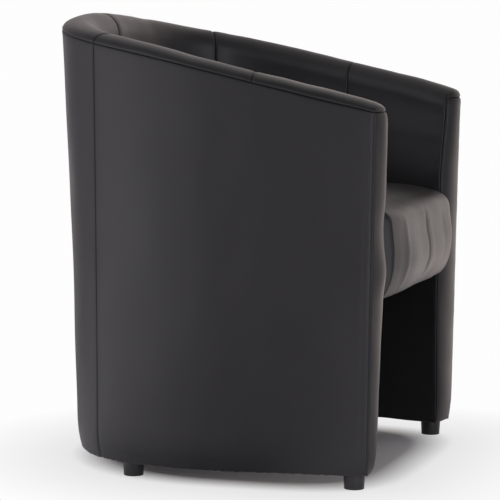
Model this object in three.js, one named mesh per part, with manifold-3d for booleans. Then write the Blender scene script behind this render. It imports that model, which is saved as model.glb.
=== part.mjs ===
// Tub chair: a horseshoe wall of timber, board, foam and faux leather round a sprung seat.
// Millimetres, +Z up. The front faces -Y and the sitter's left is +X.
// The origin is on the floor, in the middle of the chair's width and depth.
import * as THREE from 'three';
import { mergeVertices } from 'three/addons/utils/BufferGeometryUtils.js';
import Module from 'manifold-3d';

const wasm = await Module();
wasm.setup();

// Overall sizes
const overallWidth = 692;
const overallDepth = 648;
const backRimHeight = 772;
const armRimHeight = 636;
const shellClearance = 26;          // floor to the underside of the wall

// Plan of the wall's outer face
const frontWidth = 626;             // across both arms at the front seams
const apronReach = 38;              // how far the seat stands ahead of the front seams
const shoulderSquarenessShare = 0.07;
const taperPower = 1.5;
const rimFallPower = 1.64;

// How the outer face leans and tucks in
const backLean = 32;
const leanPower = 1.6;
const sideTaper = 3;
const hemTuck = 7;
const hemHeight = 60;
const armFrontRake = 6;

// Thickness of the wall, outer face to inner face
const rimThickness = 62;
const armSeatThickness = 80;
const backSeatThickness = 96;
const hemThickness = 62;
const lowSwellShare = 0.3;          // how far the inner face has swelled just over the hem
const highSwellShare = 0.45;        // and midway between the seat and the rim
const rimOuterDrop = 16;            // crown of the rim to the outer seam
const rimInnerDrop = 34;            // crown of the rim to where the inner face runs straight

// Stock
const coverThickness = 2;
const boardThickness = 3;
const timberThickness = 28;
const plyThickness = 22;
const armBoardThickness = 15;
const seamGap = 0.3;
const fitGap = 0.3;
const timberGap = 0.8;

// Arm fronts
const frontPadDepth = 18;
const facingRoundPower = 3;
const facingTopPower = 40;
const facingHemPower = 60;

// Seat
const seatEdgeHeight = 446;
const seatCrown = 26;
const seatBottomHeight = 311;
const seatRailHeight = 42;
const seatRailWidth = 22;
const seatSideRadius = 20;
const seatFrontRadius = 40;
const seatFrontBow = 12;
const seatCornerRadius = 36;
const seatCornerSetback = 45;       // behind the front seams, where the seat leaves the arms
const seatUndercut = 38;            // how far the apron curves back under
const strapWidth = 50;
const strapThickness = 2;
const strapMargin = 30;
const lengthwiseStraps = 3;
const crosswiseStraps = 2;
const dustCoverThickness = 1;
const dustCoverInset = 6;

// Posts
const postWidth = 40;

// Feet
const footDiameter = 36;
const footBottomDiameter = 33;
const footChamfer = 2;
const footBossDiameter = 20;
const bossClearance = 3;            // foot boss to the hems beside it
const frontFootSetback = 24;        // behind the front seams
const rearFootSetback = 55;         // ahead of the rear seams
const studDiameter = 8;
const studGrip = 12;                // how much of the stud the foot holds
const studCover = 2;                // timber left over the stud

// Seat bolts
const boltDiameter = 8;
const boltHeadDiameter = 16;
const boltHeadHeight = 5;
const boltSeatDepth = 1.5;          // flat sunk in the rail under the bolt's head
const boltGrip = 22;
const frontBoltSetback = 100;
const rearBoltShare = 0.625;

// Where the seams over the rim fall, as shares of the way from the centre back to the front
const rearSeamShare = 0.418;
const armSeamShare = 0.767;
const backSteps = 5;
const quarterSteps = 4;
const armSteps = 2;
const rimSteps = 6;
const footSides = 20;
const fastenerSides = 10;
const planDivisions = 400;

const halfWidth = overallWidth / 2;
const halfDepth = overallDepth / 2;
const armLength = halfDepth - apronReach;
const hemTurn = (hemThickness - footBossDiameter) / 2 - bossClearance;
const cutOverrun = 1;

// Levels that the layers share
const skinOffset = coverThickness + fitGap;
const baseBottom = shellClearance + skinOffset;
const baseTop = baseBottom + plyThickness;
const wallFloor = baseTop + fitGap;

// Materials
const leatherette = new THREE.MeshStandardMaterial({ color: 0x1f1e20, roughness: 0.48, metalness: 0 });
const foam = new THREE.MeshStandardMaterial({ color: 0xd9cfa8, roughness: 0.95, metalness: 0 });
const timber = new THREE.MeshStandardMaterial({ color: 0xb98f5e, roughness: 0.7, metalness: 0 });
const board = new THREE.MeshStandardMaterial({ color: 0x7a5a3c, roughness: 0.8, metalness: 0 });
const webbing = new THREE.MeshStandardMaterial({ color: 0x3a3a3c, roughness: 0.9, metalness: 0 });
const lining = new THREE.MeshStandardMaterial({ color: 0x161616, roughness: 0.95, metalness: 0 });
const plastic = new THREE.MeshStandardMaterial({ color: 0x141414, roughness: 0.5, metalness: 0 });
const steel = new THREE.MeshStandardMaterial({ color: 0xb9bbbd, roughness: 0.35, metalness: 1 });

const group = new THREE.Group();

// Closed surfaces
const mix = (a, b, t) => a + (b - a) * t;
const mixPoints = (a, b, t) => a.map((point, k) => point.clone().lerp(b[k], t));
const mirrored = (points) => points.map((point) => new THREE.Vector3(-point.x, point.y, point.z));

function signedVolume(points, faces) {
  let sum = 0;
  for (const [a, b, c] of faces) {
    sum += points[a].dot(new THREE.Vector3().crossVectors(points[b], points[c]));
  }
  return sum;
}

function solidGeometry(points, faces) {
  const outward = signedVolume(points, faces) > 0;
  const geometry = new THREE.BufferGeometry();
  const flat = points.flatMap((point) => [point.x, point.y, point.z]);
  geometry.setAttribute('position', new THREE.Float32BufferAttribute(flat, 3));
  geometry.setIndex(faces.flatMap(([a, b, c]) => (outward ? [a, b, c] : [a, c, b])));
  return geometry;
}

// A bar whose cross-section changes along its way; the ends are capped.
// Each side panel is folded from its rear lower corner, so that nested layers fold alike.
function sweptGeometry(sections, outlines) {
  const count = sections[0].length;
  const points = sections.flat();
  const faces = [];
  for (let row = 0; row + 1 < sections.length; row += 1) {
    for (let k = 0; k < count; k += 1) {
      const next = (k + 1) % count;
      const a = row * count + k;
      const b = row * count + next;
      const c = b + count;
      const d = a + count;
      const rearFirst = points[a].y + points[b].y >= points[c].y + points[d].y;
      const lowFirst = points[a].z <= points[b].z;
      if (rearFirst === lowFirst) faces.push([a, b, c], [a, c, d]);
      else faces.push([a, b, d], [b, c, d]);
    }
  }
  const last = (sections.length - 1) * count;
  for (const [a, b, c] of capFaces(outlines[0])) faces.push([a, c, b]);
  for (const [a, b, c] of capFaces(outlines[1])) faces.push([last + a, last + b, last + c]);
  return solidGeometry(points, faces);
}

// Triangles over a flat outline, wound the way that the outline runs
function capFaces(outline) {
  const order = outline.map((_, k) => k);
  const turned = THREE.ShapeUtils.isClockWise(outline);
  if (turned) order.reverse();
  const cap = THREE.ShapeUtils.triangulateShape(order.map((k) => outline[k]), []);
  return cap.map(([a, b, c]) => (turned
    ? [order[a], order[c], order[b]]
    : [order[a], order[b], order[c]]));
}

// A closed skin of rings between a first and a last pole
function ringedGeometry(firstPole, rings, lastPole) {
  const count = rings[0].length;
  const points = [firstPole, ...rings.flat(), lastPole];
  const end = points.length - 1;
  const faces = [];
  for (let k = 0; k < count; k += 1) {
    const next = (k + 1) % count;
    faces.push([0, 1 + k, 1 + next]);
    for (let row = 0; row + 1 < rings.length; row += 1) {
      const a = 1 + row * count + k;
      const b = 1 + row * count + next;
      const c = b + count;
      const d = a + count;
      if (points[a].z + points[b].z >= points[c].z + points[d].z) faces.push([a, d, c], [a, c, b]);
      else faces.push([a, d, b], [d, c, b]);
    }
    const base = 1 + (rings.length - 1) * count;
    faces.push([base + k, end, base + next]);
  }
  return solidGeometry(points, faces);
}

// A sheet with a front grid and a back grid of the same size, closed along its edges
function sheetGeometry(front, back) {
  const rows = front.length;
  const columns = front[0].length;
  const points = [...front.flat(), ...back.flat()];
  const offset = rows * columns;
  const at = (row, column) => row * columns + column;
  const faces = [];
  for (let row = 0; row + 1 < rows; row += 1) {
    for (let column = 0; column + 1 < columns; column += 1) {
      const a = at(row, column);
      const b = at(row, column + 1);
      const c = at(row + 1, column + 1);
      const d = at(row + 1, column);
      faces.push([a, b, c], [a, c, d]);
      faces.push([offset + a, offset + c, offset + b], [offset + a, offset + d, offset + c]);
    }
  }
  const edge = [];
  for (let column = 0; column + 1 < columns; column += 1) edge.push(at(0, column));
  for (let row = 0; row + 1 < rows; row += 1) edge.push(at(row, columns - 1));
  for (let column = columns - 1; column > 0; column -= 1) edge.push(at(rows - 1, column));
  for (let row = rows - 1; row > 0; row -= 1) edge.push(at(row, 0));
  edge.forEach((a, k) => {
    const b = edge[(k + 1) % edge.length];
    faces.push([a, offset + a, offset + b], [a, offset + b, b]);
  });
  return solidGeometry(points, faces);
}

function addPiece(name, geometry, material) {
  const mesh = new THREE.Mesh(geometry, material);
  mesh.name = name;
  group.add(mesh);
  return mesh;
}

// Joining and cutting
function toManifold(geometry) {
  const bare = geometry.clone();
  for (const name of Object.keys(bare.attributes)) {
    if (name !== 'position') bare.deleteAttribute(name);
  }
  const merged = mergeVertices(bare);
  return new wasm.Manifold(new wasm.Mesh({
    numProp: 3,
    vertProperties: new Float32Array(merged.attributes.position.array),
    triVerts: new Uint32Array(merged.index.array),
  }));
}

function fromManifold(solid) {
  const mesh = solid.getMesh();
  const geometry = new THREE.BufferGeometry();
  geometry.setAttribute('position', new THREE.Float32BufferAttribute(mesh.vertProperties, 3));
  geometry.setIndex([...mesh.triVerts]);
  return geometry;
}

function drill(mesh, tool) {
  mesh.geometry = fromManifold(toManifold(mesh.geometry).subtract(toManifold(tool)));
}

// Outer plan, from the centre back to the left arm's front seam
class OuterPlan extends THREE.Curve {
  getPoint(t, target = new THREE.Vector3()) {
    const halfway = 1 / 2;
    if (t <= halfway) {
      const turn = t * Math.PI;
      const fuller = 1 + shoulderSquarenessShare * Math.sin(2 * turn) ** 2;
      return target.set(
        halfWidth * Math.sin(turn) * fuller,
        halfDepth * Math.cos(turn) * fuller,
        0,
      );
    }
    const forward = (t - halfway) / halfway;
    const narrowing = (overallWidth - frontWidth) / 2;
    return target.set(halfWidth - narrowing * forward ** taperPower, -armLength * forward, 0);
  }
}

const plan = new OuterPlan();
plan.arcLengthDivisions = planDivisions;
const planLength = plan.getLength();

// Stations along the wall, shared by every layer so that the layers nest
function spread(from, to, steps) {
  return Array.from({ length: steps }, (_, k) => mix(from, to, k / steps));
}
const boardShare = 1 - armBoardThickness / planLength;
const cornerShare = 1 - seatCornerSetback / planLength;
const stationShares = [
  ...spread(0, rearSeamShare, backSteps),
  ...spread(rearSeamShare, armSeamShare, quarterSteps),
  ...spread(armSeamShare, cornerShare, armSteps),
  cornerShare,
  boardShare,
  1,
];

const stations = stationShares.map((share) => {
  const point = plan.getPointAt(share);
  const tangent = plan.getTangentAt(share);
  if (share === 0) tangent.set(1, 0, 0);
  const outward = new THREE.Vector3(-tangent.y, tangent.x, 0);
  const rimHeight = backRimHeight - (backRimHeight - armRimHeight) * share ** rimFallPower;
  const backward = outward.y ** 2;
  const forward = Math.max(0, -point.y) / armLength;
  const seamHeight = rimHeight - rimOuterDrop;
  const seatTopLevel = seatEdgeHeight + seatSideRadius;
  const seatLowLevel = seatBottomHeight - seatSideRadius;
  const heights = [
    shellClearance,
    wallFloor,
    seatLowLevel,
    seatTopLevel,
    (seatTopLevel + seamHeight) / 2,
    seamHeight,
  ];
  const insets = heights.map((height) => {
    const rise = (height - shellClearance) / (seamHeight - shellClearance);
    const lean = backLean * (1 - rise ** leanPower);
    const taper = sideTaper * (1 - rise) ** 2;
    const tuck = hemTuck * Math.max(0, 1 - (height - shellClearance) / hemHeight) ** 2;
    return mix(taper, lean, backward) + tuck;
  });
  const rakes = heights.map((height) => (
    armFrontRake * forward ** 2 * (height - shellClearance) / (seamHeight - shellClearance)
  ));
  const seatThickness = mix(armSeatThickness, backSeatThickness, backward);
  const innerHeights = [...heights.slice(0, 5), rimHeight - rimInnerDrop];
  const depths = [
    hemThickness,
    mix(hemThickness, seatThickness, lowSwellShare),
    seatThickness,
    seatThickness,
    mix(rimThickness, seatThickness, highSwellShare),
    rimThickness,
  ];
  return {
    share, point, tangent, outward, rimHeight, seamHeight, heights, insets, rakes, innerHeights, depths,
  };
});

function alongLevels(levels, values, height) {
  if (height <= levels[0]) return values[0];
  for (let k = 0; k + 1 < levels.length; k += 1) {
    if (height <= levels[k + 1]) {
      return mix(values[k], values[k + 1], (height - levels[k]) / (levels[k + 1] - levels[k]));
    }
  }
  return values[values.length - 1];
}

const wallThickness = (station, height) => (
  alongLevels(station.innerHeights, station.depths, height)
);

// A point of the wall at a depth behind its outer face
function wallPoint(station, depth, height) {
  const inset = alongLevels(station.heights, station.insets, height);
  const rake = alongLevels(station.heights, station.rakes, height);
  const point = station.point.clone().addScaledVector(station.outward, -(inset + depth));
  point.y -= rake;
  point.z = height;
  return point;
}

// Depths and heights along the rolled rim, offset inwards from the skin
function rimPath(station, offset) {
  const half = rimThickness / 2;
  return Array.from({ length: rimSteps + 1 }, (_, k) => {
    const turn = (k / rimSteps) * Math.PI;
    const drop = turn <= Math.PI / 2 ? rimOuterDrop : rimInnerDrop;
    return [
      offset + (half - offset) * (1 - Math.cos(turn)),
      station.rimHeight - drop + (drop - offset) * Math.sin(turn),
    ];
  });
}

// Depths and heights down the inner face, offset into the wall, from the rim to a height
function innerPath(station, offset, lowest) {
  const levels = station.innerHeights.slice(0, 5).filter((height) => height > lowest).reverse();
  return [...levels, lowest].map((height) => [wallThickness(station, height) - offset, height]);
}

// Depths and heights up the outer face, from one height to another
function outerPath(station, depth, from, to) {
  const levels = station.heights.filter((height) => height > from && height < to);
  return [from, ...levels, to].map((height) => [depth, height]);
}

// A piece of the wall between two shares of the way round; a profile gives its cross-section
function wallSection(share, profile) {
  let k = 0;
  while (k + 2 < stations.length && stations[k + 1].share < share) k += 1;
  const [near, far] = [stations[k], stations[k + 1]];
  const t = (share - near.share) / (far.share - near.share);
  const [a, b] = [profile(near), profile(far)];
  const behind = (station, [depth, height]) => (
    depth + alongLevels(station.heights, station.insets, height)
  );
  const outline = a.map((point, j) => new THREE.Vector2(
    mix(behind(near, point), behind(far, b[j]), t),
    mix(point[1], b[j][1], t),
  ));
  const place = (station, path) => path.map(([depth, height]) => wallPoint(station, depth, height));
  return { outline, points: mixPoints(place(near, a), place(far, b), t) };
}

function sectionsBetween(from, to, profile) {
  const inside = stationShares.filter((share) => share > from && share < to);
  return [from, ...inside, to].map((share) => wallSection(share, profile));
}

const seamShare = seamGap / 2 / planLength;

function addPair(name, from, to, profile, material) {
  const sections = sectionsBetween(from + seamShare, to - seamShare, profile);
  const outlines = [sections[0].outline, sections[sections.length - 1].outline];
  const left = sections.map((section) => section.points);
  return {
    left: addPiece(`${name}_left`, sweptGeometry(left, outlines), material),
    right: addPiece(`${name}_right`, sweptGeometry(left.map(mirrored), outlines), material),
  };
}

function addBack(name, to, profile, material) {
  const sections = sectionsBetween(0, to - seamShare, profile);
  const half = sections.map((section) => section.points);
  const other = half.slice(1).reverse().map(mirrored);
  const last = sections[sections.length - 1].outline;
  return addPiece(name, sweptGeometry([...other, ...half], [last, last]), material);
}

// Layers of the wall, by depth
const boardFrom = coverThickness + fitGap;
const timberFrom = boardFrom + boardThickness + timberGap;
const timberTo = timberFrom + timberThickness;
const linerFrom = timberTo + timberGap;
const linerTo = linerFrom + boardThickness;
const foamFrom = linerTo + fitGap;
const railDrop = rimOuterDrop + seamGap + coverThickness * 2;
const railTop = (station) => station.rimHeight - railDrop;
const railBottom = (station) => railTop(station) - plyThickness;

// Outer covers: a skin from the turned hem up to the seam under the rim
const outerCover = (station) => {
  const top = station.seamHeight - seamGap / 2;
  const skin = outerPath(station, 0, shellClearance, top);
  const back = outerPath(station, coverThickness, shellClearance + coverThickness, top).reverse();
  return [
    ...skin, ...back,
    [hemTurn, shellClearance + coverThickness],
    [hemTurn, shellClearance],
  ];
};
addPair('outer_side_cover', rearSeamShare, 1, outerCover, leatherette);
addBack('outer_back_cover', rearSeamShare, outerCover, leatherette);

// Inner covers: from the outer seam over the rim and down the inner face to a turned hem
const innerCover = (station) => {
  const start = [0, station.seamHeight + seamGap / 2];
  const startBack = [coverThickness, station.seamHeight + seamGap / 2];
  const hem = wallThickness(station, shellClearance);
  const skin = [start, ...rimPath(station, 0).slice(1), ...innerPath(station, 0, shellClearance)];
  const backBottom = shellClearance + coverThickness;
  const back = [
    startBack,
    ...rimPath(station, coverThickness).slice(1),
    ...innerPath(station, coverThickness, backBottom),
  ].reverse();
  return [...skin, [hem - hemTurn, shellClearance], [hem - hemTurn, backBottom], ...back];
};
const armCovers = addPair('inner_arm_cover', armSeamShare, 1, innerCover, leatherette);
const quarterCovers = addPair(
  'inner_quarter_cover',
  rearSeamShare,
  armSeamShare,
  innerCover,
  leatherette,
);
addPair('inner_back_cover', 0, rearSeamShare, innerCover, leatherette);

// Boards that give the wall its curve
const outerBoard = (station) => {
  const top = railTop(station);
  const skin = outerPath(station, boardFrom, wallFloor, top);
  const back = outerPath(station, boardFrom + boardThickness, wallFloor, top).reverse();
  return [...skin, ...back];
};
addPair('outer_side_board', rearSeamShare, boardShare, outerBoard, board);
addBack('outer_back_board', rearSeamShare, outerBoard, board);

const innerBoard = (station) => {
  const top = railTop(station);
  const skin = outerPath(station, linerFrom, wallFloor, top);
  const back = outerPath(station, linerTo, wallFloor, top).reverse();
  return [...skin, ...back];
};
const sideLiners = addPair('inner_side_board', rearSeamShare, boardShare, innerBoard, board);
addBack('inner_back_board', rearSeamShare, innerBoard, board);

// Foam over the rim and down the inner face
const wallFoam = (station) => {
  const shelf = railTop(station) + fitGap;
  return [
    ...outerPath(station, foamFrom, wallFloor, shelf),
    [skinOffset, shelf],
    ...rimPath(station, skinOffset),
    ...innerPath(station, skinOffset, wallFloor),
  ];
};
const armFoams = addPair('arm_foam', rearSeamShare, boardShare, wallFoam, foam);
addBack('back_foam', rearSeamShare, wallFoam, foam);

// Top rails, base rails and seat ledgers
const barProfile = (depthFrom, depthTo, bottom, top) => (station) => [
  [depthFrom(station), bottom(station)],
  [depthFrom(station), top(station)],
  [depthTo(station), top(station)],
  [depthTo(station), bottom(station)],
];
const fixed = (value) => () => value;
const topRail = barProfile(fixed(timberFrom), fixed(timberTo), railBottom, railTop);
addPair('top_rail', rearSeamShare, boardShare, topRail, timber);
addBack('top_rail_back', rearSeamShare, topRail, timber);

const baseInner = (station) => wallThickness(station, shellClearance) - skinOffset;
const baseRail = barProfile(fixed(boardFrom), baseInner, fixed(baseBottom), fixed(baseTop));
const baseRails = addPair('base_rail', rearSeamShare, boardShare, baseRail, timber);
addBack('base_rail_back', rearSeamShare, baseRail, timber);

const seatRailBottom = seatBottomHeight + coverThickness + fitGap;
const seatRailTop = seatRailBottom + seatRailHeight;
const ledger = barProfile(fixed(timberFrom), fixed(timberTo), fixed(seatRailBottom), fixed(seatRailTop));
const postShare = postWidth / 2 / planLength;
const rearPostShare = rearSeamShare + postShare;
const ledgers = addPair('seat_ledger', rearPostShare + postShare, boardShare, ledger, timber);

// Posts between the base rails and the top rails
const postProfile = (station) => {
  const top = railBottom(station) - fitGap;
  const skin = outerPath(station, timberFrom, wallFloor, top);
  const back = outerPath(station, timberTo, wallFloor, top).reverse();
  return [...skin, ...back];
};
addPair('rear_post', rearPostShare - postShare, rearPostShare + postShare, postProfile, timber);
addBack('back_post', postShare, postProfile, timber);

// Arm front boards, cut to the outline of the arm
const armBoard = (station) => [
  ...outerPath(station, skinOffset, baseBottom, station.seamHeight),
  ...rimPath(station, skinOffset).slice(1),
  ...innerPath(station, skinOffset, baseBottom),
];
addPair('arm_front_board', boardShare, 1, armBoard, timber);

// Padded facings on the arm fronts
const frontStation = stations[stations.length - 1];
const facingColumnShares = [0, 0.06, 0.18, 0.34, 0.5, 0.66, 0.82, 0.94, 1];
const facingRowShares = [0, 0.006, 0.03, 0.25, 0.5, 0.75, 0.92, 0.97, 0.99, 1];
const padColumnShares = facingColumnShares.slice(2, -2);
const padRowShares = facingRowShares.slice(2, -1);

function rimHeightAt(station, depth) {
  const half = rimThickness / 2;
  const from = Math.min(Math.abs(depth - half) / half, 1);
  const drop = depth < half ? rimOuterDrop : rimInnerDrop;
  return station.rimHeight - drop + drop * Math.sqrt(1 - from ** 2);
}

function facingPoint(across, up, behind) {
  const rimDepth = across * rimThickness;
  const top = rimHeightAt(frontStation, rimDepth);
  const height = mix(shellClearance, top, up);
  const depth = across * wallThickness(frontStation, height);
  const round = 1 - Math.abs(2 * across - 1) ** facingRoundPower;
  const roundTop = Math.sqrt(1 - up ** facingTopPower);
  const roundHem = Math.sqrt(1 - (1 - up) ** facingHemPower);
  const edge = coverThickness + fitGap;
  const proud = edge + (frontPadDepth - edge) * round * roundTop * roundHem;
  const point = wallPoint(frontStation, depth, height);
  return point.addScaledVector(frontStation.tangent, behind === null ? fitGap : proud - behind);
}

function facingGrid(columns, rows, behind) {
  return rows.map((up) => columns.map((across) => facingPoint(across, up, behind)));
}

function addFacing(name, front, back, material) {
  addPiece(`${name}_left`, sheetGeometry(front, back), material);
  addPiece(`${name}_right`, sheetGeometry(front.map(mirrored), back.map(mirrored)), material);
}

addFacing(
  'arm_front_cover',
  facingGrid(facingColumnShares, facingRowShares, 0),
  facingGrid(facingColumnShares, facingRowShares, coverThickness),
  leatherette,
);
addFacing(
  'arm_front_pad',
  facingGrid(padColumnShares, padRowShares, skinOffset),
  facingGrid(padColumnShares, padRowShares, null),
  foam,
);

// Seat outline: it follows the inner face of the wall, then rounds into the front apron
const seatSideGap = 1.6;
const seatStations = stations.filter((station) => station.share <= cornerShare);
const cornerStation = seatStations[seatStations.length - 1];
const pastCorner = stations[seatStations.length];
const cornerSteps = 3;
const frontSteps = 4;

const apronLevelShares = [0, 0.1, 0.3, 0.6, 1];
const apronRecessShares = [1, 0.42, 0.05, 0, 0.35];
const apronHeights = apronLevelShares.map((share) => mix(seatBottomHeight, seatEdgeHeight, share));
const apronRecesses = apronRecessShares.map((share) => seatUndercut * share);
const frontRecess = (height) => alongLevels(apronHeights, apronRecesses, height);

const besideWall = (station, inset, height) => (
  wallPoint(station, wallThickness(station, height) + seatSideGap + inset, height)
);

function seatRing(sideInset, frontInset, height) {
  const half = seatStations.map((station) => besideWall(station, sideInset, height));
  const corner = besideWall(cornerStation, sideInset, height);
  const along = besideWall(pastCorner, sideInset, height).sub(corner);
  const frontY = -halfDepth + frontRecess(height);
  const cornerDepth = corner.y - frontY - seatFrontBow - frontInset;
  const drift = along.x * (cornerDepth / -along.y);
  const radius = seatCornerRadius - sideInset;
  const frontX = corner.x - radius + drift;
  for (let k = 1; k <= cornerSteps; k += 1) {
    const turn = (k / cornerSteps) * (Math.PI / 2);
    half.push(new THREE.Vector3(
      corner.x - radius * (1 - Math.cos(turn)) + drift * Math.sin(turn),
      corner.y - cornerDepth * Math.sin(turn),
      height,
    ));
  }
  for (let k = 1; k <= frontSteps; k += 1) {
    const across = 1 - k / frontSteps;
    half.push(new THREE.Vector3(
      frontX * across,
      frontY + seatFrontBow * across ** 2 + frontInset,
      height,
    ));
  }
  const inner = half.slice(1, -1).reverse();
  return [...half, ...mirrored(inner)];
}

const seatMiddleShare = 0.08;
const seatMiddle = new THREE.Vector3(0, -seatMiddleShare * overallDepth, 0);
const crownShares = [0.4, 0.7, 0.9];
const edgeTurnShares = [0, 0.35, 0.7, 1];

function seatCrownRings(offset) {
  const edge = seatRing(seatSideRadius, seatFrontRadius, seatEdgeHeight);
  return crownShares.map((share) => edge.map((point) => {
    const lifted = seatMiddle.clone().lerp(point, share);
    lifted.z = seatEdgeHeight - offset + seatCrown * (1 - share ** 2);
    return lifted;
  }));
}

function seatEdgeRings(offset) {
  return edgeTurnShares.map((share) => {
    const turn = (share * Math.PI) / 2;
    const side = seatSideRadius - (seatSideRadius - offset) * Math.sin(turn);
    const front = seatFrontRadius - (seatFrontRadius - offset) * Math.sin(turn);
    const drop = seatSideRadius - (seatSideRadius - offset) * Math.cos(turn);
    return seatRing(side, front, seatEdgeHeight - drop);
  });
}

const crownPole = (offset) => (
  new THREE.Vector3(seatMiddle.x, seatMiddle.y, seatEdgeHeight + seatCrown - offset)
);
const strapStep = strapThickness + fitGap;
const endRailTop = seatRailTop + strapStep;
const deckHeight = endRailTop + strapStep + fitGap;

function apronRings(offset, lowest) {
  const rings = apronHeights
    .slice(1, -1)
    .reverse()
    .filter((height) => height > lowest + coverThickness)
    .map((height) => seatRing(offset, offset, height));
  return [...rings, seatRing(offset, offset, lowest)];
}

// Seat cover: an open-bottomed shell whose hem turns under the seat rails
const coverUnder = seatBottomHeight + coverThickness;
const seatCover = addPiece('seat_cover', ringedGeometry(
  crownPole(0),
  [
    ...seatCrownRings(0),
    ...seatEdgeRings(0),
    ...apronRings(0, seatBottomHeight),
    seatRing(hemTurn, hemTurn, seatBottomHeight),
    seatRing(hemTurn, hemTurn, coverUnder),
    ...apronRings(coverThickness, coverUnder).reverse(),
    ...seatEdgeRings(coverThickness).reverse(),
    ...seatCrownRings(coverThickness).reverse(),
  ],
  crownPole(coverThickness),
), leatherette);

// Seat foam: a crowned block on the webbing
addPiece('seat_foam', ringedGeometry(
  crownPole(skinOffset),
  [
    ...seatCrownRings(skinOffset),
    ...seatEdgeRings(skinOffset),
    ...apronRings(skinOffset, deckHeight),
  ],
  new THREE.Vector3(seatMiddle.x, seatMiddle.y, deckHeight),
), foam);

// Seat rails: bent sides and back, and a straight front rail behind a foam roll
const seatRailFrom = (station) => (
  wallThickness(station, seatRailBottom) + seatSideGap + skinOffset
);
const seatRailTo = (station) => seatRailFrom(station) + seatRailWidth;
const seatRailProfile = barProfile(seatRailFrom, seatRailTo, fixed(seatRailBottom), fixed(seatRailTop));
const endRailProfile = barProfile(seatRailFrom, seatRailTo, fixed(seatRailBottom), fixed(endRailTop));
const seatRails = addPair('seat_rail', rearSeamShare, cornerShare, seatRailProfile, timber);
addBack('seat_rail_rear', rearSeamShare, endRailProfile, timber);

// Places along a line of points, found from one coordinate
function lineValue(line, known, wanted, value) {
  for (let k = 0; k + 1 < line.length; k += 1) {
    const [a, b] = [line[k], line[k + 1]];
    const inside = (a[known] - value) * (b[known] - value) <= 0;
    if (inside) return mix(a[wanted], b[wanted], (value - a[known]) / (b[known] - a[known]));
  }
  return line[line.length - 1][wanted];
}

const insideRails = [seatRailBottom, seatRailTop].map((height) => (
  seatStations.map((station) => wallPoint(station, seatRailTo(station), height))
));
const railEndY = Math.max(...insideRails.map((line) => line[line.length - 1].y));
const frontRailY = railEndY + seatRailWidth / 2;
const frontRailReach = Math.min(...insideRails.flatMap((line) => (
  [railEndY, railEndY + seatRailWidth].map((y) => lineValue(line, 'y', 'x', y))
)));
const frontRailLength = 2 * (frontRailReach - fitGap);
const frontRailHeight = endRailTop - seatRailBottom;
const frontRail = addPiece(
  'seat_rail_front',
  new THREE.BoxGeometry(frontRailLength, seatRailWidth, frontRailHeight),
  timber,
);
frontRail.position.set(0, frontRailY, seatRailBottom + frontRailHeight / 2);

// Foam roll between the front rail and the apron
const rollHeights = [
  seatRailBottom,
  ...apronHeights.filter((height) => height > seatRailBottom && height < deckHeight - fitGap),
  deckHeight - fitGap,
];
const rollFront = rollHeights.map((height) => {
  const ring = seatRing(skinOffset, skinOffset, height);
  const first = seatStations.length - 1 + cornerSteps;
  return ring.slice(first, first + 2 * frontSteps + 1);
});
const rollBackY = frontRailY - seatRailWidth / 2 - fitGap;
const rollBack = rollFront.map((row) => row.map((point) => (
  new THREE.Vector3(point.x, rollBackY, point.z)
)));
addPiece('seat_front_roll', sheetGeometry(rollFront, rollBack), foam);

// Webbing: crosswise straps on the side rails, lengthwise straps over them on the end rails
const railLine = seatStations.map((station) => (
  wallPoint(station, (seatRailFrom(station) + seatRailTo(station)) / 2, seatRailTop)
));

function addStrap(name, sizeX, sizeY, x, y, bottom) {
  const strap = addPiece(name, new THREE.BoxGeometry(sizeX, sizeY, strapThickness), webbing);
  strap.position.set(x, y, bottom + strapThickness / 2);
}

const strapSpan = frontRailLength - 2 * strapMargin - strapWidth;
for (let k = 0; k < lengthwiseStraps; k += 1) {
  const x = strapSpan * (k / (lengthwiseStraps - 1) - 1 / 2);
  const rear = lineValue(railLine, 'x', 'y', Math.abs(x) + strapWidth / 2);
  const length = rear - frontRailY;
  addStrap(`seat_strap_${k + 1}`, strapWidth, length, x, frontRailY + length / 2, endRailTop + fitGap);
}
const strapRun = railLine[0].y - frontRailY;
for (let k = 0; k < crosswiseStraps; k += 1) {
  const y = frontRailY + strapRun * ((k + 1) / (crosswiseStraps + 1));
  const edges = [y - strapWidth / 2, y + strapWidth / 2];
  const reach = Math.min(...edges.map((edge) => lineValue(railLine, 'y', 'x', edge)));
  addStrap(`seat_cross_strap_${k + 1}`, 2 * reach, strapWidth, 0, y, seatRailTop + fitGap);
}

// Dust cover under the seat
const dustTop = seatBottomHeight - fitGap;
const dustBottom = dustTop - dustCoverThickness;
addPiece('seat_dust_cover', ringedGeometry(
  new THREE.Vector3(seatMiddle.x, seatMiddle.y, dustTop),
  [
    seatRing(dustCoverInset, dustCoverInset, seatBottomHeight).map((point) => point.setZ(dustTop)),
    seatRing(dustCoverInset, dustCoverInset, seatBottomHeight).map((point) => point.setZ(dustBottom)),
  ],
  new THREE.Vector3(seatMiddle.x, seatMiddle.y, dustBottom),
), lining);

// A place in the wall at any share of the way round
function wallPlace(share, depth, height) {
  return wallSection(share, (station) => [[depth(station), height]]).points[0];
}

// Turned pieces: a profile of radius and height pairs, set at a place along a direction
function addTurned(name, profile, place, direction, material, sides) {
  const points = profile.map(([radius, along]) => new THREE.Vector2(radius, along));
  const piece = addPiece(name, new THREE.LatheGeometry(points, sides), material);
  piece.position.copy(place);
  piece.quaternion.setFromUnitVectors(new THREE.Vector3(0, 1, 0), direction);
  return piece;
}

function toolAlong(radius, from, to) {
  const axis = to.clone().sub(from);
  const tool = new THREE.CylinderGeometry(radius, radius, axis.length(), fastenerSides);
  tool.applyQuaternion(new THREE.Quaternion().setFromUnitVectors(
    new THREE.Vector3(0, 1, 0),
    axis.clone().normalize(),
  ));
  const middle = from.clone().lerp(to, 1 / 2);
  return tool.translate(middle.x, middle.y, middle.z);
}

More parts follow.
